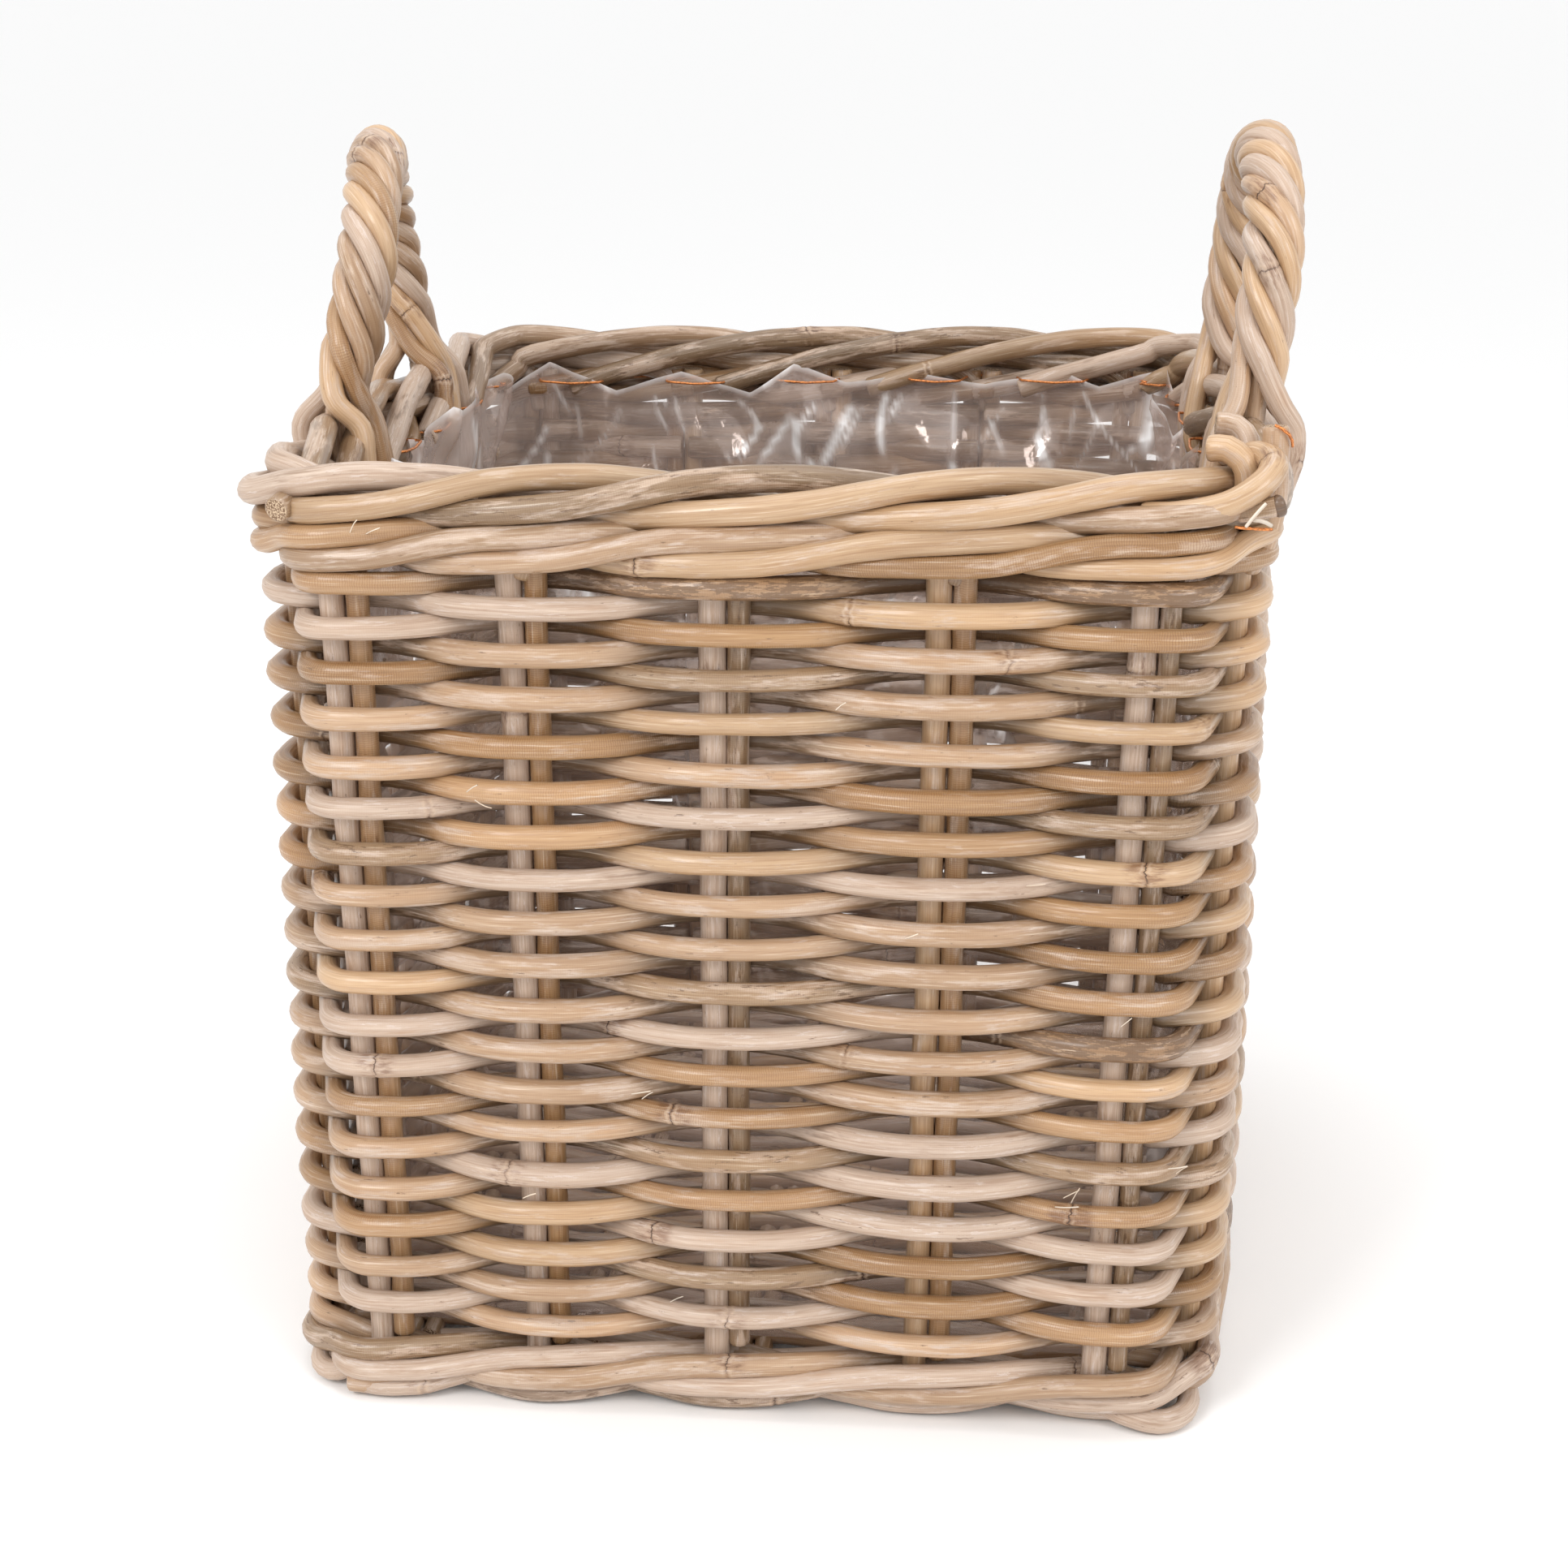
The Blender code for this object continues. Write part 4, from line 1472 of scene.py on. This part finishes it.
@dataclass
class Stitching:
    """Copper wire that sews the film under the border."""

    wall: WallLine
    finishes: Materials
    radius: float = 0.00060
    height: float = 0.3622
    stitch: float = 0.060
    shown: float = 0.46             # share of each stitch that lies on the film

    def build(self) -> None:
        """Run the wire round the basket, over the film and behind it by turns."""
        knots = []
        draw = np.random.default_rng(19)
        count = round(self.wall.total / self.stitch)
        for number in range(count):
            start = number * self.wall.total / count + draw.uniform(-0.006, 0.006)
            shown = self.shown * self.stitch * draw.uniform(0.85, 1.15)
            height = self.height + draw.uniform(-0.0010, 0.0010)
            knots += [
                (start - 0.0035, -0.0030, height), (start, -0.0185, height),
                (start + shown * 0.5, -0.0192, height - 0.0006), (start + shown, -0.0185, height + 0.0004),
                (start + shown + 0.0035, -0.0030, height), (start + shown + 0.014, 0.0020, height)]
        table = np.array(knots)
        table = table[np.argsort(table[:, 0])]
        along = np.arange(table[0, 0], table[-1, 0], 0.0012)
        out = np.interp(along, table[:, 0], table[:, 1])
        height = np.interp(along, table[:, 0], table[:, 2])
        bundle = RodBundle("stitching_wire")
        line = self.wall.points(along, out, height)
        LOG.info("stitching wire %.3f metres long", line_length(line))
        bundle.add(Rod(line, self.radius, Cane.HONEY.value, 61, [], sides=6, uneven=0.0))
        piece = bundle.build(self.finishes.copper, self.finishes.copper)
        settle(piece, "copper_wire", "liner_stitching")


@dataclass
class LooseEnds:
    """Cut ends and loops that stick out at the corners, stray wire, and splinters on the front."""

    wall: WallLine
    finishes: Materials
    ends: tuple[tuple, ...] = (     # cane, radius and course, in millimetres
        (Cane.DRAB, 4.8, [(-170, -192, 368.5), (-168, -180, 370), (-161, -162, 373)]),
        (Cane.CREAM, 4.7, [(161.8, -166, 394.5), (168.2, -168, 395), (174.1, -170, 391), (176, -170, 385),
                           (176, -168, 378)]),
        (Cane.BUFF, 4.4, [(165, -152, 401), (171.5, -152, 400.5), (176.2, -155, 396.5), (177.5, -159, 389)]),
        (Cane.CREAM, 4.8, [(139, -185.5, 374), (152, -188.5, 375.5), (168, -188, 379.3), (179.2, -184, 385.4),
                           (184, -177, 390.5), (182, -169, 393), (177, -163, 392), (173, -158, 386)]),
        (Cane.BUFF, 4.9, [(185, -165, 403), (185.5, -165.5, 393), (186, -166, 376), (184, -163, 362),
                          (179, -158, 350)]),
        (Cane.DRAB, 3.6, [(172, -184, 375.5), (180, -185, 377.2), (186.5, -184.5, 378.6)]),
        (Cane.CHAR, 3.7, [(184.6, -184.4, 378.2), (186, -184.6, 378.5), (187.4, -184.2, 379.0)]),
        (Cane.LILAC, 4.7, [(140, -173, 9.5), (152, -178, 7), (165, -180, 5.4), (175, -173, 5.4),
                           (178, -161, 7), (173, -152, 11)]),
        (Cane.BUFF, 4.7, [(-163, -187, 6.2), (-152, -187.5, 6.6), (-136, -185, 9), (-118, -180, 11.5)]),
        (Cane.LILAC, 4.2, [(-170, -158, 15), (-178, -165, 11), (-178.5, -175, 6.5), (-171, -181, 6),
                           (-160, -180, 10)]))
    wires: tuple[tuple, ...] = (
        [(184, -171.0, 404.3), (187.6, -170.9, 402.4), (190.2, -169.4, 399.7), (191.2, -166.6, 396)],
        [(171, -188.6, 371.4), (177.5, -189.6, 371.2), (184, -188.6, 370.9)])
    fibres: tuple[tuple[float, ...], ...] = (   # x, height, and how far it reaches across and up
        (123, 108, 6, 5), (120, 104, 9, 2), (126, 106, 3, 8), (162, 123, 7, 3), (165, 121, 4, 5),
        (-104, 264, 5, 4), (-101, 261, 7, -2), (-44, 143, 8, 3), (-40, 141, 5, 5), (-143, 361, 4, 6),
        (-137, 361, 6, 3), (60, 213, 5, 3), (-88, 95, 6, 4), (33, 301, 4, 4), (104, 236, 7, 2),
        (-30, 52, 6, 5), (141, 181, 4, 5))
    white_fibres: tuple[tuple, ...] = (
        [(174.4, -192.4, 372.4), (177.4, -193.4, 377), (180.8, -192.2, 380.8)],
        [(176.6, -192, 374.8), (180, -192.6, 374.6), (183.4, -191.6, 372.8)])

    def build(self) -> None:
        """Make the ends, the wire and the splinters."""
        bundle = RodBundle("loose_ends")
        for number, (cane, radius, places) in enumerate(self.ends):
            line = smooth_through(places, 14) * MILLIMETRE
            joints = [0.055] if number == 3 else []
            uneven = 0.22 if cane is Cane.CHAR else 0.03
            bundle.add(Rod(line, radius * MILLIMETRE, cane.value, 8100 + number, joints, 16, uneven))
        self.finishes.lay(bundle, "rattan_golden")
        bundle = RodBundle("stray_wire")
        for number, places in enumerate(self.wires):
            line = smooth_through(places, 10) * MILLIMETRE
            bundle.add(Rod(line, 0.00058, Cane.HONEY.value, 8200 + number, [], sides=6, uneven=0.0))
        settle(bundle.build(self.finishes.copper, self.finishes.copper), "copper_wire")
        bundle = RodBundle("splinters")
        for number, places in enumerate(self.white_fibres):
            line = smooth_through(places, 10) * MILLIMETRE
            bundle.add(Rod(line, 0.00075, Cane.FIBRE.value, 8300 + number, [], sides=6, uneven=0.2))
        draw = np.random.default_rng(83)
        for number, (x, z, across, up) in enumerate(self.fibres):
            half = self.wall.half(z * MILLIMETRE)
            start = np.array([x, -half / MILLIMETRE - 12.6, z])
            bend = start + np.array([across * 0.5, -1.6 - draw.uniform(0, 1), up * 0.6])
            tip = start + np.array([across, -2.2 - draw.uniform(0, 1.5), up])
            line = smooth_through([start, bend, tip], 8) * MILLIMETRE
            bundle.add(Rod(line, 0.00022, Cane.FIBRE.value, 8400 + number, [], sides=5, uneven=0.1))
        self.finishes.lay(bundle, "rattan_buff")


# ---- stage ----------------------------------------------------------------------------------
@dataclass
class Studio:
    """Pale floor, soft light and the camera."""

    lens: float = 55.53
    place: tuple[float, float, float] = (0.0977, -1.0261, 0.5532)
    pitch: float = 0.3237
    yaw: float = -0.0995
    roll: float = 0.0069

    def _panel(self, name: str, place: tuple, size: float, power: float, aim: tuple = (0, 0, 0.2)) -> None:
        """Hang one soft light.

        Args:
            name: Its name.
            place: Where it hangs.
            size: Side of its square.
            power: Power in watts.
            aim: The point it faces.
        """
        lamp = bpy.data.lights.new(name, "AREA")
        lamp.shape = "SQUARE"
        lamp.size = size
        lamp.energy = power
        item = link_item(name, lamp)
        item.location = place
        item.rotation_euler = (Vector(aim) - Vector(place)).to_track_quat("-Z", "Y").to_euler()

    def build(self) -> None:
        """Set the stage."""
        bpy.ops.mesh.primitive_plane_add(size=240.0, location=(0.0, 0.0, 0.0))
        floor = bpy.context.object
        floor.name = "studio_floor"
        floor.data.materials.append(FloorFinish().build())

        world = bpy.data.worlds.new("studio_world")
        world.use_nodes = True
        sky = world.node_tree.nodes["Background"]
        sky.inputs["Color"].default_value = (1.0, 1.0, 1.0, 1.0)
        sky.inputs["Strength"].default_value = 1.0
        bpy.context.scene.world = world
        self._panel("key_panel", (-0.9, -1.5, 1.5), 0.7, 16.0)
        self._panel("fill_panel", (1.4, -1.3, 1.3), 0.7, 10.0)
        self._panel("top_panel", (0.0, -0.1, 1.7), 0.8, 5.0)

        level = math.cos(self.pitch)
        forward = Vector((math.sin(self.yaw) * level, math.cos(self.yaw) * level, -math.sin(self.pitch)))
        right = Vector((math.cos(self.yaw), -math.sin(self.yaw), 0.0))
        up = right.cross(forward)
        turned_right = right * math.cos(self.roll) + up * math.sin(self.roll)
        turned_up = up * math.cos(self.roll) - right * math.sin(self.roll)
        camera = bpy.data.cameras.new("studio_camera")
        camera.lens = self.lens
        camera.sensor_width = 36.0
        camera.clip_end = 300.0
        item = link_item("studio_camera", camera)
        axes = (turned_right, turned_up, -forward)
        rows = [[*(axis[row] for axis in axes), self.place[row]] for row in range(3)]
        item.matrix_world = Matrix([*rows, [0.0, 0.0, 0.0, 1.0]])
        bpy.context.scene.camera = item
        bpy.context.scene.view_settings.view_transform = "Standard"


def main() -> None:
    """Build the basket in the order it is made: stakes, weave, edges, handles, lining."""
    logging.basicConfig(level=logging.INFO, format="%(name)s %(message)s")
    bpy.ops.object.select_all(action="DESELECT")
    finishes = Materials(*(finish().build() for finish in (CaneFinish, PithFinish, FilmFinish, CopperFinish)))
    wall = WallLine()
    Studio().build()
    Stakes(wall, finishes).build()
    Weave(wall, finishes).build()
    for name, node, slot, course, radius, seed, mix, painted_shade_and_tone in EDGES:
        LaidRods(name, node, slot, wall, finishes, course, radius, seed, mix, painted_shade_and_tone).build()
    BasePanel(wall, finishes).build()
    Handle("handle_left", wall, finishes, -1, LEFT_BOW, 11, painted_shade_and_tone=0.88).build()
    Handle("handle_right", wall, finishes, 1, RIGHT_BOW, 23, painted_shade_and_tone=1.04, mix=RIGHT_HANDLE_MIX).build()
    FilmLiner(wall, finishes).build()
    Stitching(wall, finishes).build()
    LooseEnds(wall, finishes).build()
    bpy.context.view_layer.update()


if __name__ == "__main__":
    main()
